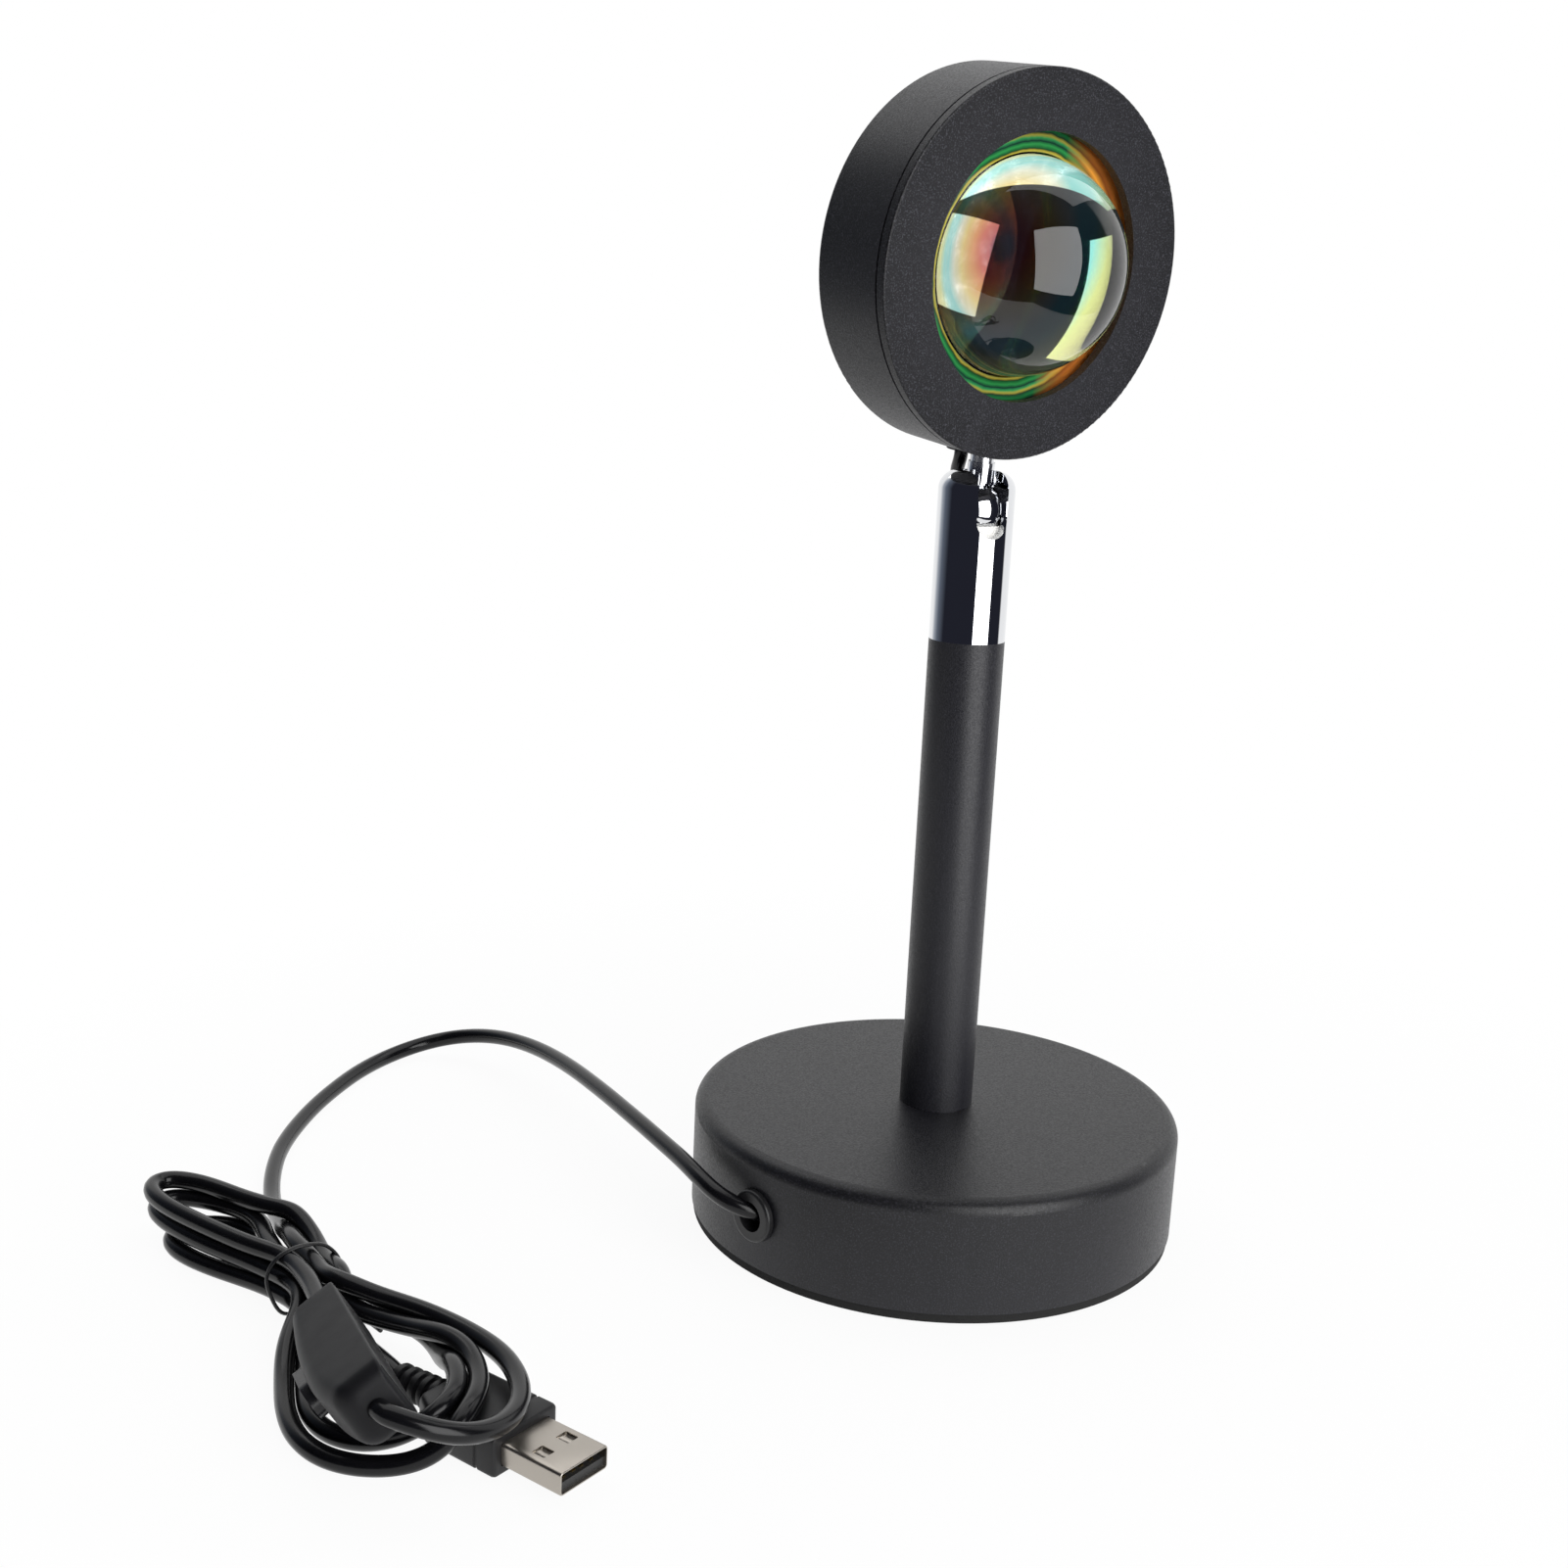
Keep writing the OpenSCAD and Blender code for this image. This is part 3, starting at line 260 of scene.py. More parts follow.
def settled(one, two):
    """The two cords as stiff strands that rest on each other and on the floor."""
    step, turns, calm_turns, apart_by = 2.0, 400, 90, CORD_D * 1.03
    push, pull_back, unshrink = 0.9, 0.015, 0.98
    off_boxes, off_floor = CORD_D / 2 + 0.05, CORD_D / 2 + 0.02
    a, b = resample(one, step), resample(two, step)
    x = np.vstack([a, b])
    first, count = len(a), len(x)
    ends = [0, first - 1, first, count - 1]
    owner = np.arange(count) >= first
    pinned = np.zeros(count, bool)
    pinned[:2] = pinned[first - 2:first + 2] = pinned[-2:] = True
    start = x.copy()
    i, j = np.triu_indices(count, 1)
    apart = (owner[i] != owner[j]) | (j - i > math.ceil(CORD_D * 1.9 / step) + 2)
    i, j = i[apart], j[apart]

    def bend(p):
        even = p.copy()
        even[1:-1] = (p[:-2] + p[2:]) / 2
        even[ends] = p[ends]
        return even - p

    for turn in range(turns):
        late = turn > turns - calm_turns
        gap = x[j] - x[i]
        dist = np.linalg.norm(gap, axis=1)
        hit = dist < apart_by
        move = gap[hit] / np.maximum(dist[hit], 1e-6)[:, None]
        move *= (apart_by - dist[hit])[:, None] / 2
        total, hits = np.zeros_like(x), np.zeros(count)
        np.add.at(total, i[hit], -move)
        np.add.at(total, j[hit], move)
        np.add.at(hits, i[hit], 1)
        np.add.at(hits, j[hit], 1)
        total /= np.maximum(hits, 1)[:, None]
        total[pinned] = 0
        x = x + push * total
        y, share = x, 0.1 if late else 0.5
        for _ in range(1 if late else 3):
            y = y + share * bend(y)
            y[pinned] = x[pinned]
            y = y - unshrink * share * bend(y)
            y[pinned] = x[pinned]
        if not late:
            y = y + pull_back * (start - y)
        for box in SOLID_BOXES:
            y = pushed_out(y, *box, off_boxes)
        y[:, 2] = np.maximum(y[:, 2], off_floor)
        y[pinned] = x[pinned]
        x = y
    return x[:first], x[first:]


def cord_curve(name, points, diameter):
    data = bpy.data.curves.new(name, "CURVE")
    data.dimensions = "3D"
    data.bevel_depth = 1.0  # times each point's radius, which also sets the curve's box
    data.bevel_resolution = 5
    data.use_fill_caps = True
    data.resolution_u = 3
    spline = data.splines.new("NURBS")
    spline.points.add(len(points) - 1)
    for p, q in zip(spline.points, points):
        p.co = (q[0] * MM, q[1] * MM, q[2] * MM, 1)
        p.radius = diameter / 2 * MM
    spline.order_u = 4
    spline.use_endpoint_u = True
    spline.use_smooth = True
    obj = bpy.data.objects.new(name, data)
    bpy.context.scene.collection.objects.link(obj)
    return obj


strand_1, strand_2 = settled(
    ARCH + LOOP_1, LOBE_A + LOOP_2 + LOBE_B + LOOP_3 + LOBE_C + TAIL)
cord_1 = cord_curve("supply_cord", strand_1, CORD_D)
cord_2 = cord_curve("plug_cord", strand_2, CORD_D)
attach(cord_1, "stand")
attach(cord_2, "stand")
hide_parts("cord_arch", "cord_bight")
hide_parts("cord_hank", "cord_tail")


# ---- Where the head is: its stem, and the middle of its face -------------------

BALL_Z = 161.2
LEAN_AXIS, LEAN = -12, 7.5
FACE_FROM_BALL = np.array([0, -8.8, 51.1])
STEM_TURN = rot("Z", LEAN_AXIS) @ rot("X", LEAN) @ rot("Z", -LEAN_AXIS)
FACE_TURN = STEM_TURN @ rot("X", -90)
FACE_AT = np.array([0, 0, BALL_Z]) + STEM_TURN @ FACE_FROM_BALL


# ---- Materials --------------------------------------------------------------

class Paint:
    """One procedural material: a Principled shader with its textures."""

    def __init__(self, name, **settings):
        self.mat = bpy.data.materials.new(name)
        self.mat.use_nodes = True
        self.tree = self.mat.node_tree
        self.tree.nodes.clear()
        self.out = self.tree.nodes.new("ShaderNodeOutputMaterial")
        self.bsdf = self.tree.nodes.new("ShaderNodeBsdfPrincipled")
        self.link(self.bsdf.outputs[0], self.out.inputs[0])
        self.coords = self.tree.nodes.new("ShaderNodeTexCoord").outputs["Object"]
        for key, value in settings.items():
            self.bsdf.inputs[key.replace("_", " ")].default_value = value

    def link(self, a, b):
        self.tree.links.new(a, b)

    def noise(self, scale, detail=3.0, rough=0.55, stretch=None):
        n = self.tree.nodes.new("ShaderNodeTexNoise")
        n.inputs["Scale"].default_value = scale
        n.inputs["Detail"].default_value = detail
        n.inputs["Roughness"].default_value = rough
        self.link(self.stretched(stretch), n.inputs["Vector"])
        return n.outputs["Fac"]

    def stretched(self, stretch):
        if stretch is None:
            return self.coords
        m = self.tree.nodes.new("ShaderNodeMapping")
        m.inputs["Scale"].default_value = stretch
        self.link(self.coords, m.inputs["Vector"])
        return m.outputs[0]

    def cells(self, scale):
        n = self.tree.nodes.new("ShaderNodeTexVoronoi")
        n.inputs["Scale"].default_value = scale
        self.link(self.coords, n.inputs["Vector"])
        return n.outputs["Distance"]

    def ramp(self, fac, *stops):
        n = self.tree.nodes.new("ShaderNodeValToRGB")
        fill_ramp(n, stops)
        self.link(fac, n.inputs[0])
        return n.outputs[0]

    def maths(self, op, a, b=0.0):
        n = self.tree.nodes.new("ShaderNodeMath")
        n.operation = op
        for k, v in enumerate((a, b)):
            if isinstance(v, (int, float)):
                n.inputs[k].default_value = v
            else:
                self.link(v, n.inputs[k])
        return n.outputs[0]

    def mix(self, fac, a, b):
        n = self.tree.nodes.new("ShaderNodeMix")
        n.data_type = "RGBA"
        for k, v in ((0, fac), (6, a), (7, b)):
            if isinstance(v, (int, float)):
                n.inputs[k].default_value = v
            elif isinstance(v, tuple):
                n.inputs[k].default_value = (*v, 1)
            else:
                self.link(v, n.inputs[k])
        return n.outputs[2]

    def colour(self, socket):
        self.link(socket, self.bsdf.inputs["Base Color"])
        return self

    def rough(self, socket):
        self.link(socket, self.bsdf.inputs["Roughness"])
        return self

    def bump(self, height, depth, strength=1.0):
        n = self.tree.nodes.new("ShaderNodeBump")
        n.inputs["Distance"].default_value = depth
        n.inputs["Strength"].default_value = strength
        self.link(height, n.inputs["Height"])
        self.link(n.outputs[0], self.bsdf.inputs["Normal"])
        return self

    def sharp_edge_factor(self, lo, hi):
        """Factor that rises on sharp outer edges."""
        geo = self.tree.nodes.new("ShaderNodeNewGeometry")
        return self.ramp(geo.outputs["Pointiness"], (lo, 0.0), (hi, 1.0))


def times(colour, factor):
    return tuple(min(1.0, c * factor) for c in colour)


def powder(name, base, grain, rough, glint_share=0.5, ior=1.43):
    """Fine textured powder coat: orange-peel grain, painted glints as pale specks in the
    colour, lighter sharp edges.
    """
    grain_depth = 0.00005
    p = Paint(name, IOR=ior)
    grit = p.noise(grain, 2.0, 0.6)
    broad = p.noise(60, 3.0)
    col = p.mix(broad, times(base, 0.85), times(base, 1.15))
    # Painted glints: pale specks in the colour stand in for the coat's sparkle
    painted_glints = p.ramp(p.noise(grain * 1.3, 1.0), (0.52, 0.0), (0.7, 1.0))
    with_painted_glints = p.mix(p.maths("MULTIPLY", painted_glints, glint_share), col, times(base, 7))
    # Colour lighter on sharp outer edges
    edge = p.maths("MULTIPLY", p.sharp_edge_factor(0.52, 0.66), 0.6)
    p.colour(p.mix(edge, with_painted_glints, times(base, 4)))
    p.rough(p.ramp(grit, (0.3, rough - 0.1), (0.7, rough + 0.12)))
    return p.bump(grit, grain_depth, 0.8)


def smooth_plastic(name, base, rough, grain=900, depth=0.00001, ior=1.42):
    p = Paint(name, IOR=ior)
    n = p.noise(grain, 3.0)
    broad = p.noise(45, 2.0)
    col = p.mix(broad, times(base, 0.85), times(base, 1.15))
    # Colour lighter on sharp outer edges
    edge = p.maths("MULTIPLY", p.sharp_edge_factor(0.53, 0.7), 0.3)
    edge_tone = tuple(min(1, c * 2 + 0.008) for c in base)
    p.colour(p.mix(edge, col, edge_tone))
    smear = p.noise(150, 4.0, 0.65)
    p.rough(p.ramp(smear, (0.3, max(0.02, rough - 0.02)), (0.7, rough + 0.03)))
    return p.bump(n, depth, 0.6)


def metal(name, base, rough, stretch=None, grain=700, depth=0.000002, spread=0.04, dust=0.0,
          satin_from=None):
    """Brushed or polished metal, with dust motes and a satin upper part where asked."""
    satin_edge, satin_rough = 0.0006, 0.24
    p = Paint(name, Metallic=1.0)
    lines = p.noise(grain, 3.0, 0.6, stretch)
    smear = p.noise(70, 3.0)
    col = p.mix(smear, times(base, 0.95), times(base, 1.03))
    if dust:
        motes = p.ramp(p.cells(520), (0.05, 1.0), (0.11, 0.0))
        col = p.mix(p.maths("MULTIPLY", motes, dust), col, (1.0, 1.0, 1.0))
    p.colour(col)
    gloss = p.ramp(lines, (0.3, max(0.02, rough - spread / 2)), (0.7, rough + spread / 2))
    if satin_from:
        place = p.tree.nodes.new("ShaderNodeSeparateXYZ")
        p.link(p.coords, place.inputs[0])
        satin = p.ramp(place.outputs["Z"], (satin_from, 0.0),
                       (satin_from + satin_edge, satin_rough))
        gloss = p.maths("ADD", gloss, satin)
    p.rough(gloss)
    return p.bump(lines, depth, 0.4)


# Height in metres from which the chrome is satin, just above the joint tube's top
NECK_Z = 0.1701

PAINTS = {
    "black_powder": powder("black_powder_coat", (0.006, 0.006, 0.0075), 2300, 0.4),
    "head_paint": powder("head_black_paint", (0.0075, 0.0075, 0.009), 2500, 0.43, 1.0,
                         ior=1.35),
    "ballast_iron": powder("raw_iron", (0.17, 0.17, 0.175), 1200, 0.6, 0.1),
    "pad_foam": smooth_plastic("foam_rubber", (0.012, 0.012, 0.012), 0.85, 2400, 0.00004),
    "grommet_rubber": smooth_plastic("grommet_rubber", (0.012, 0.012, 0.013), 0.36),
    "steel_zinc": metal("zinc_steel", (0.6, 0.61, 0.62), 0.3, None, 900, 0.00001, 0.12),
    "nipple_brass": metal("plain_brass", (0.72, 0.56, 0.28), 0.25, None, 900),
    "joint_chrome": metal("polished_chrome", (0.78, 0.79, 0.81), 0.03, (1, 1, 0.2), 500,
                          0.0000006, 0.02, 0.3, NECK_Z),
    "cup_acetal": smooth_plastic("natural_acetal", (0.8, 0.79, 0.75), 0.4),
    "gasket_silicone": smooth_plastic("silicone", (0.02, 0.02, 0.02), 0.5),
    "holder_plastic": smooth_plastic("holder_plastic", (0.012, 0.012, 0.013), 0.4),
    "board_white": smooth_plastic("solder_mask", (0.7, 0.71, 0.71), 0.4),
    "emitter_yellow": smooth_plastic("phosphor", (0.75, 0.6, 0.12), 0.35),
    "wire_red": smooth_plastic("wire_sleeve", (0.45, 0.03, 0.03), 0.35),
    "cord_black": smooth_plastic("cord_vinyl", (0.0045, 0.0045, 0.0055), 0.2, 300, 0.000002,
                                 ior=1.37),
    "tie_black": smooth_plastic("tie_ribbon", (0.01, 0.01, 0.011), 0.35),
    "switch_plastic": smooth_plastic("switch_plastic", (0.006, 0.006, 0.0075), 0.5, 1800,
                                     0.000012, ior=1.3),
    "button_plastic": smooth_plastic("button_plastic", (0.015, 0.015, 0.017), 0.25),
    "contact_brass": metal("brass_strip", (0.72, 0.52, 0.24), 0.3),
    "plug_vinyl": smooth_plastic("plug_vinyl", (0.006, 0.006, 0.007), 0.42, 1500, 0.00002),
    "plug_nickel": metal("nickel_sheet", (0.45, 0.415, 0.37), 0.33, (1, 0.25, 1), 600,
                         0.000002, 0.06),
    "tongue_plastic": smooth_plastic("tongue_plastic", (0.02, 0.02, 0.02), 0.45),
    "contact_gold": metal("gold_flash", (0.83, 0.62, 0.25), 0.22),
}


def clear_glass():
    p = Paint("lens_glass", IOR=1.52, Roughness=0.0)
    p.bsdf.inputs["Transmission Weight"].default_value = 1.0
    haze = p.noise(140, 3.0)
    p.colour(p.mix(haze, (0.97, 0.985, 0.98), (1.0, 1.0, 1.0)))
    return p.bump(p.noise(45, 1.0), 0.000003, 0.15)


def coated_glass():
    """Half-mirror coating: its tint is the coating's own, but the rings of colour are painted
    reflection, fixed in place, of the colours the film reflects by angle.
    """
    # The rings' middle on the face in millimetres, their reach and waver in metres
    rings_middle, rings_r, waver = (-0.4, -2.0, 8.6), 0.028, 0.0012
    p = Paint("dichroic_coating", Metallic=0.8, IOR=1.5)
    p.bsdf.inputs["Transmission Weight"].default_value = 1.0
    middle = FACE_AT + FACE_TURN @ np.array(rings_middle)
    away = p.tree.nodes.new("ShaderNodeVectorMath")
    away.operation = "DISTANCE"
    p.link(p.coords, away.inputs[0])
    away.inputs[1].default_value = tuple(middle * MM)
    blur = p.maths("MULTIPLY_ADD", p.noise(90, 2.0), waver)
    blur.node.inputs[2].default_value = -waver / 2
    out = p.maths("MULTIPLY", p.maths("ADD", away.outputs["Value"], blur), 1 / rings_r)
    # Painted reflection: ring colours set at places on the coating stand in for the colours it
    # reflects by angle
    rings = p.ramp(out, (0.0, (0.02, 0.03, 0.14)), (0.05, (0.1, 0.02, 0.1)),
                   (0.09, (0.6, 0.02, 0.02)), (0.15, (0.82, 0.1, 0.02)),
                   (0.21, (0.95, 0.36, 0.05)), (0.29, (0.98, 0.75, 0.2)),
                   (0.36, (0.9, 0.95, 0.7)), (0.41, (0.35, 0.88, 0.8)),
                   (0.46, (0.4, 0.92, 0.82)), (0.51, (0.88, 0.97, 0.4)),
                   (0.58, (0.98, 0.92, 0.4)), (0.66, (0.95, 0.6, 0.1)),
                   (0.73, (0.08, 0.75, 0.2)), (0.8, (0.04, 0.3, 0.3)),
                   (0.86, (0.95, 0.85, 0.15)), (0.93, (0.95, 0.5, 0.05)))
    facing = p.tree.nodes.new("ShaderNodeLayerWeight")
    facing.inputs["Blend"].default_value = 0.5
    p.colour(p.mix(p.ramp(facing.outputs["Facing"], (0.4, 0.0), (0.9, 0.12)), rings,
                   (0.9, 0.95, 0.9)))
    p.rough(p.ramp(p.noise(300), (0.3, 0.01), (0.7, 0.03)))
    return p


def rim_painted_reflection():
    """Flat rim of the lens: painted reflection, fine rings of colour standing in for the
    coating's reflections in the rim, orange to the right.
    """
    # Metres on the face: where the rings start, how far they run and waver, and
    # between which places to the right green gives way to orange
    rings_from, rings_run, waver = 0.0222, 0.006, 0.0016
    green_to, orange_from = 0.008, 0.016
    p = Paint("rim_painted_reflection", IOR=1.5)
    place = p.tree.nodes.new("ShaderNodeVectorMath")
    place.operation = "SUBTRACT"
    p.link(p.coords, place.inputs[0])
    place.inputs[1].default_value = tuple(FACE_AT * MM)

    def along(axis):
        dot = p.tree.nodes.new("ShaderNodeVectorMath")
        dot.operation = "DOT_PRODUCT"
        p.link(place.outputs[0], dot.inputs[0])
        dot.inputs[1].default_value = tuple(FACE_TURN[:, axis])
        return dot.outputs["Value"]

    x, y = along(0), along(1)
    square = [p.maths("MULTIPLY", v, v) for v in (x, y)]
    out = p.maths("SQRT", p.maths("ADD", *square))
    shift = p.maths("MULTIPLY", p.noise(120, 3.0), waver)
    at = p.maths("MULTIPLY", p.maths("SUBTRACT", p.maths("ADD", out, shift), rings_from),
                 1 / rings_run)
    # Painted reflection: green and yellow rings, and orange to the right, are the coating's
    # reflections set into the rim's colour
    green = p.ramp(at, (0.0, (0.01, 0.02, 0.03)), (0.1, (0.02, 0.12, 0.1)),
                   (0.2, (0.5, 0.42, 0.05)), (0.27, (0.01, 0.05, 0.02)),
                   (0.4, (0.03, 0.3, 0.07)), (0.5, (0.01, 0.03, 0.03)),
                   (0.6, (0.04, 0.34, 0.1)), (0.68, (0.45, 0.4, 0.06)),
                   (0.76, (0.02, 0.05, 0.03)), (0.88, (0.02, 0.22, 0.06)),
                   (1.0, (0.01, 0.02, 0.02)))
    orange = p.ramp(at, (0.0, (0.6, 0.4, 0.06)), (0.25, (0.95, 0.6, 0.08)),
                    (0.4, (0.3, 0.1, 0.02)), (0.55, (0.95, 0.4, 0.05)),
                    (0.75, (0.3, 0.08, 0.02)), (1.0, (0.8, 0.25, 0.04)))
    p.colour(p.mix(p.ramp(x, (green_to, 0.0), (orange_from, 1.0)), green, orange))
    p.rough(p.ramp(p.noise(300), (0.3, 0.1), (0.7, 0.2)))
    return p.bump(p.noise(900, 3.0), 0.00001, 0.5)


PAINTS["rim_painted_reflection"] = rim_painted_reflection()
PAINTS["lens_glass"] = clear_glass()
PAINTS["filter_glass"] = coated_glass()

for row in frame["record"]["subparts"]:
    paint = PAINTS[row["material_slot"]]
    for slot in NODES[row["node"]].material_slots:
        slot.material = paint.mat


def finish_piece(obj, slot, body=None, sharp=None):
    obj.data.materials.clear()
    obj.data.materials.append(PAINTS[slot].mat)
    if sharp is not None:
        obj.data.set_sharp_from_angle(angle=math.radians(sharp))
    if body:
        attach(obj, body)


finish_piece(cord_1, "cord_black")
finish_piece(cord_2, "cord_black")


# ---- Lens -------------------------------------------------------------------

def lathe(name, profile, at, turn, sides=128):
    """Turned solid: profile points are (radius, distance along the axis)."""
    rings = []
    for r, z in profile:
        ring = []
        for k in range(sides):
            a = 2 * math.pi * k / sides
            p = at + turn @ np.array([r * math.cos(a), r * math.sin(a), z])
            ring.append(Vector(p) * MM)
        rings.append(ring)
    return rings_object(name, rings)


def make_lens():
    """Clear dome on a flat rim; its back carries the coating."""
    radius, centre, rim_r, rim_z, back, chamfer = 22.0, 5.4, 29.0, 4.6, 8.63, 0.25
    steps, root_w, root_h = 56, 0.35, 0.05
    foot = math.acos((centre - rim_z) / radius)
    profile = [(max(0.02, radius * math.sin(foot * k / steps)),
                centre - radius * math.cos(foot * k / steps)) for k in range(steps + 1)]
    profile += [(radius + root_w, rim_z + root_h), (rim_r - chamfer, rim_z + root_h),
                (rim_r, rim_z + root_h + chamfer), (rim_r, back - chamfer),
                (rim_r - chamfer, back)]
    lens = lathe("lens_dome", profile, FACE_AT, FACE_TURN)
    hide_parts("lens")
    finish_piece(lens, "lens_glass", "head", 25)
    # The back takes the coating, the flat rim the painted rim reflection
    for slot in ("filter_glass", "rim_painted_reflection"):
        lens.data.materials.append(PAINTS[slot].mat)
    lens.data.polygons[-1].material_index = 1
    for poly in lens.data.polygons:
        local = FACE_TURN.T @ (np.array(poly.center) / MM - FACE_AT)
        if abs(local[2] - rim_z) < 0.2 and math.hypot(local[0], local[1]) > radius + 1:
            poly.material_index = 2


make_lens()


# ---- Inline switch ----------------------------------------------------------

def switch_top(s):
    """The top rises to a crest at two thirds, then falls to the lower end."""
    crest = 0.64
    if s < crest:
        bulge = math.sin(math.pi / 2 * s / crest)
    else:
        bulge = max(0.0, math.cos(math.pi / 2 * (s - crest) / (1 - crest))) ** 0.8
    return SWITCH_END_H[0] + (SWITCH_END_H[1] - SWITCH_END_H[0]) * s + SWITCH_RISE * bulge


def rounded_section(half_w, low, high, r_low, r_high, steps=8):
    """Closed outline in (y, z): y from -high to -low, rounded corners."""
    pts = []
    for cy, cz, r, a0 in ((-low - r_low, half_w - r_low, r_low, 0),
                          (-high + r_high, half_w - r_high, r_high, 90),
                          (-high + r_high, -half_w + r_high, r_high, 180),
                          (-low - r_low, -half_w + r_low, r_low, 270)):
        for k in range(steps + 1):
            a = math.radians(a0 + 90 * k / steps)
            pts.append((cy + r * math.cos(a), cz + r * math.sin(a)))
    return pts


def make_switch_shell():
    end_r, low_r, top_r = 3.0, 0.5, 3.3
    stations = [end_r * (1 - math.cos(math.radians(a))) for a in range(0, 91, 15)]
    stations += [end_r + (SWITCH_L - 2 * end_r) * k / 30 for k in range(1, 30)]
    stations += [SWITCH_L - s for s in stations[6::-1]]
    rings = []
    for x in stations:
        near = min(x, SWITCH_L - x)
        inset = end_r - math.sqrt(max(0, end_r ** 2 - max(0, end_r - near) ** 2))
        top = switch_top(x / SWITCH_L)
        sec = rounded_section(SWITCH_W / 2 - inset, inset * 0.3, top - inset,
                              low_r, max(low_r, top_r - inset * 0.8))
        rings.append([Vector(on_switch(x, y, z)) * MM for y, z in sec])
    return rings_object("switch_case", rings)


switch_case = make_switch_shell()
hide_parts("switch_shell")
finish_piece(switch_case, "switch_plastic", "stand")


# ---- Plug -------------------------------------------------------------------

WINDOW_X, WINDOW_Y = -6.9, 3.0


def plug_rings(stations):
    """Rounded boxes along the plug: x, half width, half height, corner radius."""
    steps, rings = 5, []
    for x, half_w, half_h, r in stations:
        ring = []
        for sy, sz, a0 in ((1, 1, 0), (-1, 1, 90), (-1, -1, 180), (1, -1, 270)):
            for k in range(steps + 1):
                a = math.radians(a0 + 90 * k / steps)
                y = sy * (half_w - r) + r * math.cos(a)
                z = sz * (half_h - r) + r * math.sin(a)
                ring.append(Vector(on_plug(x, y, z)) * MM)
        rings.append(ring)
    return rings


def cut_from(obj, cutters, name):
    """obj less its cutters, as a plain mesh."""
    for c in cutters:
        mod = obj.modifiers.new("cut", "BOOLEAN")
        mod.operation = "DIFFERENCE"
        mod.solver = "EXACT"
        mod.object = c
    bpy.context.view_layer.update()
    mesh = bpy.data.meshes.new_from_object(
        obj.evaluated_get(bpy.context.evaluated_depsgraph_get()))
    mesh.name = name
    obj.modifiers.clear()
    obj.data = mesh
    for c in cutters:
        bpy.data.objects.remove(c, do_unlink=True)
    return obj


def make_mould():
    """Overmould with a groove round it and a slot that the shell comes out of."""
    slot_w, slot_h, slot_r = 6.03, 2.28, 0.5
    body = [(-35.0, 5.2, 2.9, 1.2), (-34.9, 5.7, 3.3, 1.3), (-34.5, 6.1, 3.6, 1.4),
            (-33.8, 6.4, 3.8, 1.4), (-31.0, 8.0, 4.0, 1.2), (-19.0, 8.0, 4.0, 1.1),
            (-18.8, 7.75, 3.75, 1.0), (-18.2, 7.75, 3.75, 1.0), (-18.0, 8.0, 4.0, 1.1),
            (-14.7, 8.0, 4.0, 1.1), (-14.25, 7.85, 3.85, 1.0), (-14.0, 7.4, 3.4, 0.9)]
    mould = rings_object("plug_overmould", plug_rings(body))
    slot = rings_object("cut", plug_rings([(-17.9, slot_w, slot_h, slot_r),
                                           (-13, slot_w, slot_h, slot_r)]))
    mould = cut_from(mould, [slot], "plug_overmould")
    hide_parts("plug_mould")
    finish_piece(mould, "plug_vinyl", "stand", 35)
    return mould


def make_relief():
    """Strain relief whose ribs grow thinner towards the cord."""
    ribs, length = 5, 12.0
    profile = [(1.95, -34.6), (3.2, -34.6)]
    for i in range(ribs):
        x0, r = -35.0 - i * length / ribs, 3.38 - 0.12 * i
        profile += [(r - 0.75, x0 - 0.05), (r - 0.12, x0 - 0.2), (r, x0 - 0.45),
                    (r, x0 - 1.15), (r - 0.12, x0 - 1.4), (r - 0.75, x0 - 1.55)]
    profile += [(2.35, -46.7), (1.98, -47.0)]
    relief = lathe("plug_sleeve", profile, PLUG_AT, PLUG_TURN @ rot("Y", 90), 40)
    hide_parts("plug_relief")
    finish_piece(relief, "plug_vinyl", "stand", 40)
    return relief


def make_can():
    """Sheet shell, open at its mouth, with two windows through each broad face."""
    w, h, sheet = 6.0, 2.25, 0.32
    can = rings_object("plug_can", plug_rings([
        (-18, w, h, 0.75), (-0.25, w, h, 0.75), (-0.06, w - 0.06, h - 0.06, 0.7),
        (0, w - 0.16, h - 0.16, 0.6)]))
    cutters = [rings_object("cut", plug_rings([(-17.6, w - sheet, h - sheet, 0.45),
                                               (1, w - sheet, h - sheet, 0.45)]))]
    for side in (-1, 1):
        hole = []
        for z in (-3.5, 3.5):
            hole.append([Vector(on_plug(WINDOW_X + x, side * WINDOW_Y + y, z)) * MM
                         for x, y in ((-1.5, -1.15), (-1.3, -1.35), (1.3, -1.35),
                                      (1.5, -1.15), (1.5, 1.15), (1.3, 1.35),
                                      (-1.3, 1.35), (-1.5, 1.15))])
        cutters.append(rings_object("cut", hole))
    can = cut_from(can, cutters, "plug_can")
    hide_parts("plug_shell")
    finish_piece(can, "plug_nickel", "stand", 30)
    return can


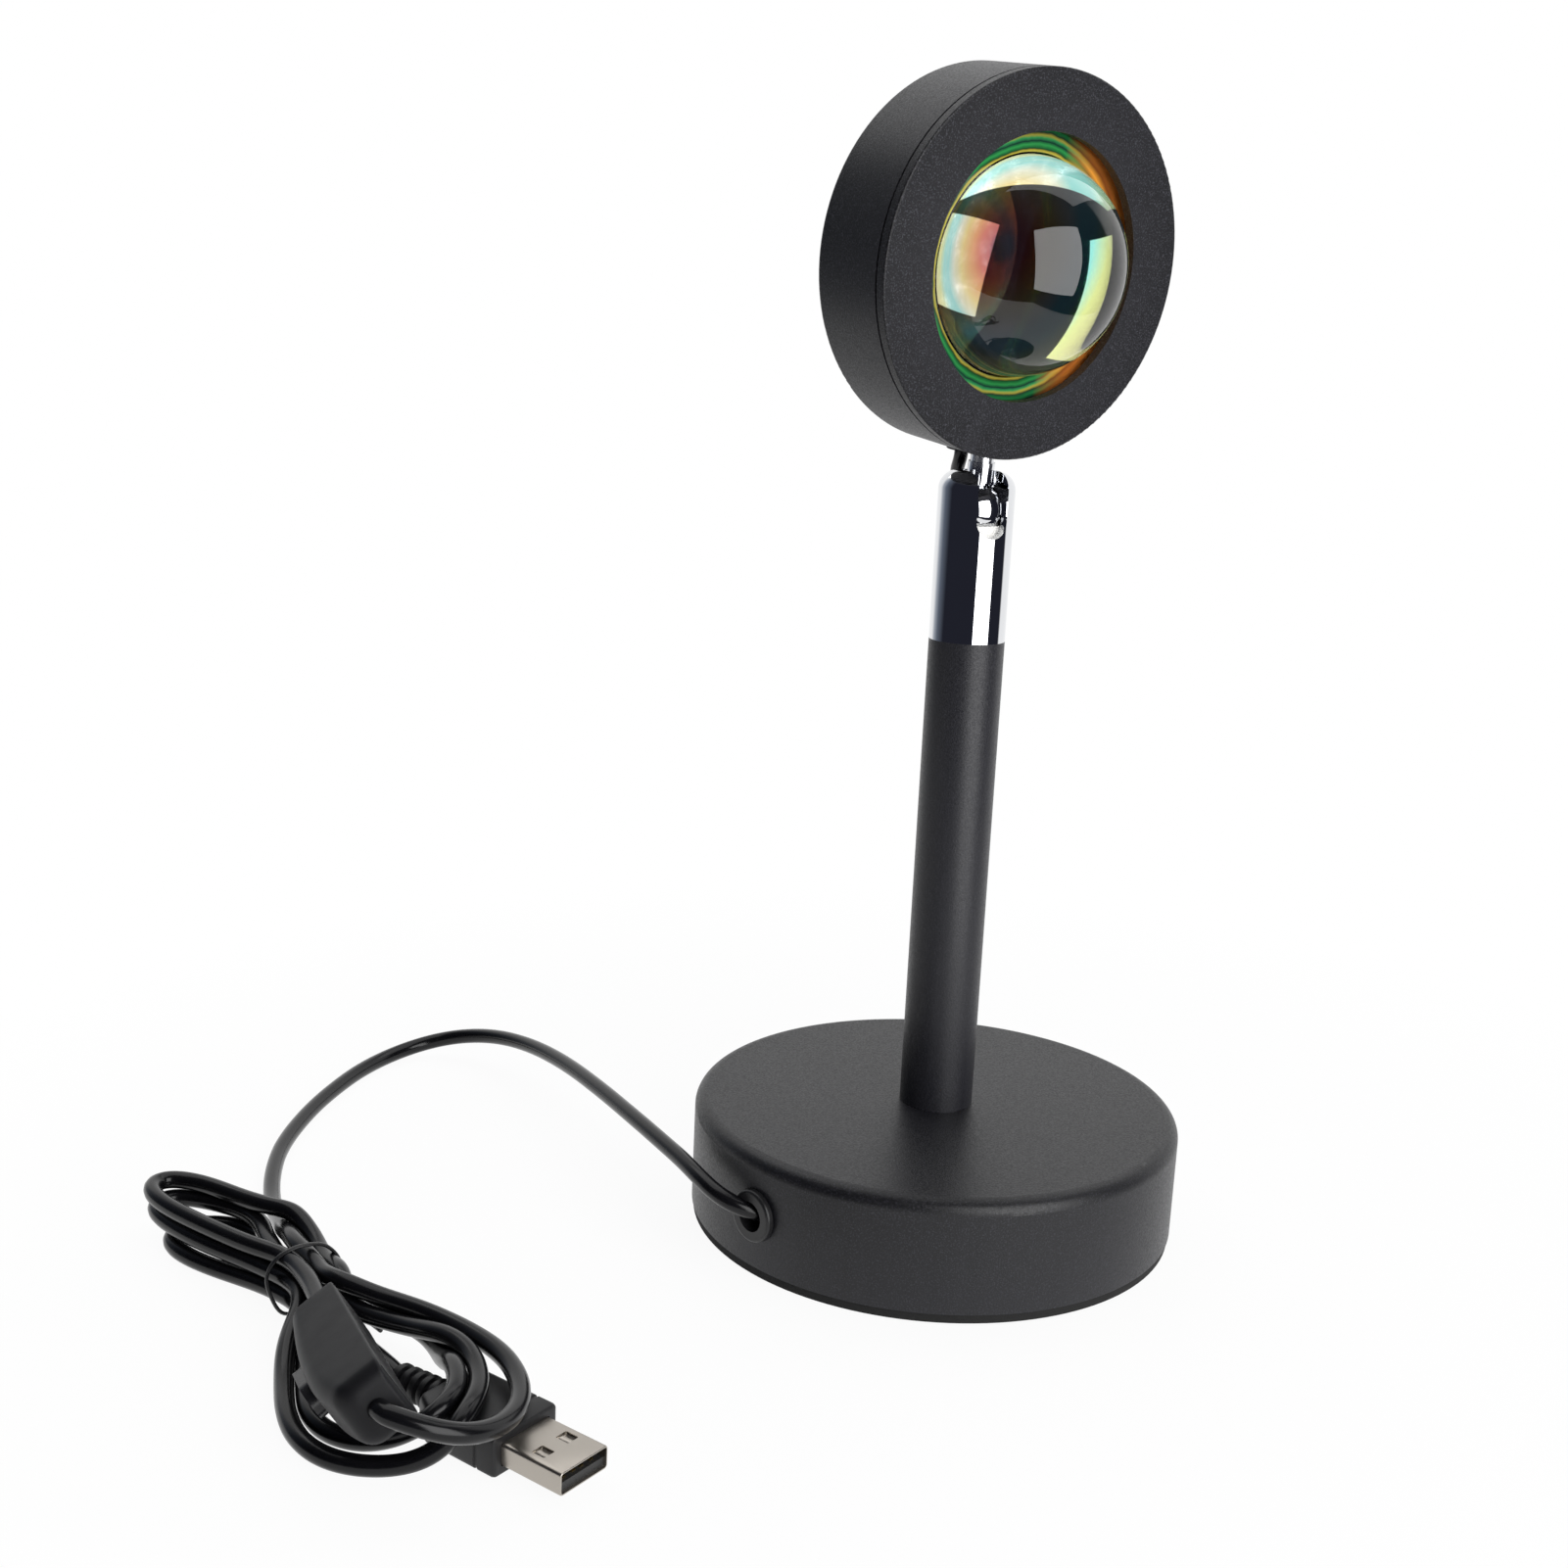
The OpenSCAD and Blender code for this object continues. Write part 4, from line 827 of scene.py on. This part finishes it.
def make_tabs():
    """Sprung tabs pressed in behind the four windows."""
    half_w, sheet = 1.25, 0.15
    verts, faces = [], []
    for side in (-1, 1):
        for face in (-1, 1):
            rows = ((-8.7, 1.85), (-8.0, 1.82), (-6.9, 1.76), (-5.8, 1.8), (-5.1, 1.85))
            base = len(verts)
            for x, z in rows:
                for y in (-half_w, half_w):
                    verts.append(Vector(on_plug(x, side * WINDOW_Y + y, face * z)) * MM)
            faces += [(base + 2 * i, base + 2 * i + 1, base + 2 * i + 3, base + 2 * i + 2)
                      for i in range(len(rows) - 1)]
    tabs = mesh_object("plug_tabs", verts, faces)
    thick = tabs.modifiers.new("sheet", "SOLIDIFY")
    thick.thickness = sheet * MM
    finish_piece(tabs, "plug_nickel", "stand")
    return tabs


plug_pieces = [make_mould(), make_relief(), make_can(), make_tabs()]


# ---- Lead from the joint tube to the head -------------------------------------

LEAD_D, LEAD_AZIMUTH = 3.0, -25
LEAD_HOLE_Z, TUBE_R = 137.3, 8.25


def lead_spot(out, z, share=1.0):
    """A place out from the pole's axis, turned a share of the azimuth from the back."""
    a = math.radians(LEAD_AZIMUTH * share)
    return [-out * math.sin(a), out * math.cos(a), z]


def lead_rings(points):
    step, sides = 0.9, 16
    pts = resample(points, step)
    rings = []
    side = np.array([1.0, 0, 0])
    for i, p in enumerate(pts):
        t = pts[min(i + 1, len(pts) - 1)] - pts[max(i - 1, 0)]
        t /= np.linalg.norm(t)
        side = side - (side @ t) * t
        side /= np.linalg.norm(side)
        other = np.cross(t, side)
        rings.append([Vector((p + LEAD_D / 2 * (math.cos(a) * side + math.sin(a) * other)) * MM)
                      for a in (2 * math.pi * k / sides for k in range(sides))])
    return rings


# Steps out of the tube's wall and up from its hole, and shares of the azimuth
LEAD_LOW = [lead_spot(TUBE_R + out, LEAD_HOLE_Z + up) for out, up in
            ((-2.6, -0.8), (0.5, 0.3), (2.4, 2.6), (3, 6.4), (2.9, 12), (2.5, 19))]
LEAD_LOW.append(lead_spot(TUBE_R + 2.2, LEAD_HOLE_Z + 23.5, 0.93))
LEAD_HIGH = [LEAD_LOW[-1]]
LEAD_HIGH += [lead_spot(TUBE_R + out, LEAD_HOLE_Z + up, share) for out, up, share in
              ((2.1, 25, 0.9), (1.9, 28.1, 0.75), (1.5, 29.9, 0.6), (0.5, 31.7, 0.4),
               (-1, 33.2, 0.2), (-2.2, 34.6, 0))]
LEAD_HIGH += [(STEM_TURN @ np.array([0, 7, z]) + np.array([0, 0, BALL_Z])).tolist()
              for z in (11.3, 12.5, 17.5)]
lead_lower = rings_object("head_lead_lower", lead_rings(LEAD_LOW))
lead_upper = rings_object("head_lead_upper", lead_rings(LEAD_HIGH))
for piece in (lead_lower, lead_upper):
    finish_piece(piece, "cord_black")
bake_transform(lead_lower)
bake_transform(lead_upper)
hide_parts("head_lead")
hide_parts("head_lead")


# ---- Twist tie ----------------------------------------------------------------

def ribbon(points, wide, thick, sides=10, closed=False):
    """Oval sections along the points, which start out wide along the strands."""
    pts = [np.array(p, float) for p in points]
    n, rings = len(pts), []
    side = np.array([*TIE_ALONG, 0.0])
    for i, p in enumerate(pts):
        t = pts[(i + 1) % n if closed else min(i + 1, n - 1)] - pts[i - 1 if closed or i else 0]
        t /= np.linalg.norm(t)
        side = side - (side @ t) * t
        side /= np.linalg.norm(side)
        out = np.cross(side, t)
        ring = [p + wide / 2 * math.cos(a) * side + thick / 2 * math.sin(a) * out
                for a in (2 * math.pi * k / sides for k in range(sides))]
        rings.append([Vector(q * MM) for q in ring])
    return rings


def make_tie():
    # Loose loop: across the strands, height, along them
    knots = [(0.6, 12.7, 1.2), (4.4, 11.4, 1.6), (7.0, 8.2, 2.4), (7.6, 4.4, 3.2),
             (6.4, 1.3, 4.2), (2.4, 0.6, 4.6), (-2.4, 0.6, 4.2), (-6.6, 0.8, 2.6),
             (-7.6, 3.4, 0.4), (-7.4, 7.4, -1.6), (-5.6, 11.0, -0.8), (-2.6, 12.6, 0.4)]
    around = [in_tie((a, z), s) for a, z, s in knots]
    loop = resample(around[-3:] + around + around[:4], 0.6)
    start = int(np.argmin(np.linalg.norm(loop[:60] - around[0], axis=1)))
    stop = start + 20 + int(np.argmin(np.linalg.norm(loop[start + 20:] - around[0], axis=1)))
    loop_obj = rings_object("twist_tie", ribbon(loop[start:stop], 1.3, 0.75, closed=True),
                            closed=True)
    parts = [loop_obj]
    # Three twisted ends, each with its lean to the side, reach and lift of its tip
    for k, (da, reach, lift) in enumerate(((0.45, 19.6, 1.7), (-0.45, 22.4, 1.0),
                                           (0.9, 21.0, 2.6))):
        path = [(6.2, 1.6, 4.4), (5.6 + da * 0.5, 1.1, 8.5), (4.7 + da * 0.4, 1.0, 13),
                (3.6 + da, 1.0, 17.6), (3.0 + 1.4 * da, lift, reach)]
        pts = resample([in_tie((a, z), s) for a, z, s in path], 0.5)
        turn = np.linspace(0, 1, len(pts))
        coil = []
        for q, p in zip(turn, pts):
            a = 2 * math.pi * (4 * min(q, 0.75) + k / 3)
            r = 0.35 if q < 0.75 else 0.35 + 0.6 * (q - 0.75)
            coil.append(p + r * math.cos(a) * np.array([*TIE_ACROSS, 0])
                        + np.array([0, 0, r * math.sin(a)]))
        parts.append(rings_object("tie_end", ribbon(coil, 1.25, 1.0, 8)))
    with bpy.context.temp_override(active_object=loop_obj, selected_editable_objects=parts,
                                   object=loop_obj):
        bpy.ops.object.join()
    return loop_obj


tie = make_tie()
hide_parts("cord_tie")
finish_piece(tie, "tie_black", "stand")


# ---- Floor, backdrop and lights ------------------------------------------------

def make_floor():
    """Pale table top that ends a little in front of and beside the object."""
    corners = [(-0.52, -0.29), (0.07, -0.29), (0.62, 0.28), (0.9, 3.0), (-0.9, 3.0)]
    below_feet, fade_from, fade_to, least_glow = 0.0002, 0.13, 0.27, 0.93
    verts = [(*(r * RIGHT_OF_VIEW + f * AHEAD), -below_feet) for r, f in corners]
    floor = mesh_object("floor", verts, [(0, 1, 2, 3, 4)], False)
    mat = bpy.data.materials.new("studio_floor")
    mat.use_nodes = True
    t = mat.node_tree
    t.nodes.clear()
    node, link = t.nodes.new, t.links.new
    out = node("ShaderNodeOutputMaterial")
    # The camera, mirrors and glass see a white table; it lights the object as a grey one
    path = node("ShaderNodeLightPath")
    seen = path.outputs["Is Camera Ray"]
    for ray in ("Is Glossy Ray", "Is Transmission Ray"):
        either = node("ShaderNodeMath")
        either.operation = "MAXIMUM"
        link(seen, either.inputs[0])
        link(path.outputs[ray], either.inputs[1])
        seen = either.outputs[0]
    grey = node("ShaderNodeBsdfDiffuse")
    grey.inputs["Color"].default_value = (0.8, 0.8, 0.8, 1)
    white = node("ShaderNodeBsdfDiffuse")
    white.inputs["Color"].default_value = (0.97, 0.97, 0.975, 1)
    glow = node("ShaderNodeEmission")
    # The further from the object, the more the floor is the backdrop's own white
    coords = node("ShaderNodeTexCoord")
    away = node("ShaderNodeVectorMath")
    away.operation = "LENGTH"
    link(coords.outputs["Object"], away.inputs[0])
    fade = node("ShaderNodeMapRange")
    fade.inputs["From Min"].default_value = fade_from
    fade.inputs["From Max"].default_value = fade_to
    fade.inputs["To Min"].default_value = least_glow
    link(away.outputs["Value"], fade.inputs["Value"])
    part = node("ShaderNodeMixShader")
    for k, socket in enumerate((fade.outputs[0], white.outputs[0], glow.outputs[0])):
        link(socket, part.inputs[k])
    pick = node("ShaderNodeMixShader")
    for k, socket in enumerate((seen, grey.outputs[0], part.outputs[0])):
        link(socket, pick.inputs[k])
    link(pick.outputs[0], out.inputs[0])
    floor.data.materials.append(mat)


def softbox(name, azimuth, elevation, distance, size, power, seen_in="gloss",
            aim=(0, 0, 0.15)):
    """A panel aimed at the object; azimuth in degrees to the camera's right, seen from
    the object. In "gloss" it lights surfaces and shows in them, in "lens" it is only
    met by light that has passed through the glass."""
    a = math.atan2(-AHEAD[1], -AHEAD[0]) + math.radians(azimuth)
    e = math.radians(elevation)
    d = Vector((math.cos(a) * math.cos(e), math.sin(a) * math.cos(e), math.sin(e)))
    data = bpy.data.lights.new(name, "AREA")
    data.shape = "RECTANGLE"
    data.size, data.size_y = size
    data.energy = power
    obj = bpy.data.objects.new(name, data)
    bpy.context.scene.collection.objects.link(obj)
    obj.location = Vector(aim) + d * distance
    obj.rotation_euler = (-d).to_track_quat("-Z", "Y").to_euler()
    obj.visible_camera = False
    obj.visible_glossy = seen_in != "lens"
    obj.visible_diffuse = seen_in != "lens"
    obj.visible_transmission = seen_in != "gloss"


def make_world():
    """White sweep behind the object, a dark room in front of it."""
    world = bpy.data.worlds.new("studio")
    bpy.context.scene.world = world
    world.use_nodes = True
    t = world.node_tree
    t.nodes.clear()
    node, link = t.nodes.new, t.links.new

    def along(direction):
        n = node("ShaderNodeVectorMath")
        n.operation = "DOT_PRODUCT"
        n.inputs[1].default_value = direction
        link(coords.outputs["Generated"], n.inputs[0])
        return n.outputs["Value"]

    def ramp(fac, stops):
        n = node("ShaderNodeValToRGB")
        fill_ramp(n, stops)
        link(fac, n.inputs[0])
        return n.outputs[0]

    coords = node("ShaderNodeTexCoord")
    angle = node("ShaderNodeMath")
    angle.operation = "ARCTAN2"
    link(along((*RIGHT_OF_VIEW, 0)), angle.inputs[0])
    link(along((*-AHEAD, 0)), angle.inputs[1])
    share = node("ShaderNodeMapRange")
    share.inputs["From Min"].default_value = -math.pi
    share.inputs["From Max"].default_value = math.pi
    link(angle.outputs[0], share.inputs["Value"])
    dark = (0.017, 0.018, 0.027)
    around = ramp(share.outputs[0], [
        (0.0, 1.0), (0.12, 0.95), (0.155, (0.4, 0.43, 0.48)), (0.2, (0.12, 0.14, 0.18)),
        (0.27, dark), (0.785, dark), (0.8, 1.0), (1.0, 1.0)])
    high = ramp(along((0, 0, 1)), [(0.5, 0.0), (0.8, 1.0)])
    mix = node("ShaderNodeMix")
    mix.data_type = "RGBA"
    link(high, mix.inputs[0])
    link(around, mix.inputs[6])
    mix.inputs[7].default_value = (0.06, 0.06, 0.065, 1)
    path = node("ShaderNodeLightPath")
    last = node("ShaderNodeMix")
    last.data_type = "RGBA"
    link(path.outputs["Is Camera Ray"], last.inputs[0])
    link(mix.outputs[2], last.inputs[6])
    last.inputs[7].default_value = (1, 1, 1, 1)
    glow = node("ShaderNodeBackground")
    link(last.outputs[2], glow.inputs["Color"])
    out = node("ShaderNodeOutputWorld")
    link(glow.outputs[0], out.inputs[0])


make_floor()
make_world()
softbox("top_softbox", 180, 70, 0.8, (1.4, 0.9), 5.2)
softbox("side_softbox", 36, 9, 0.75, (0.7, 0.9), 8.5)
softbox("front_card", 9, 4, 0.6, (0.8, 0.72), 2.3, "lens", (0, -0.05, 0.21))
softbox("side_card", 103, -5, 0.6, (0.39, 0.36), 0.3, "lens", (0, -0.05, 0.21))
bpy.context.scene.view_settings.view_transform = "Standard"

bpy.context.view_layer.update()
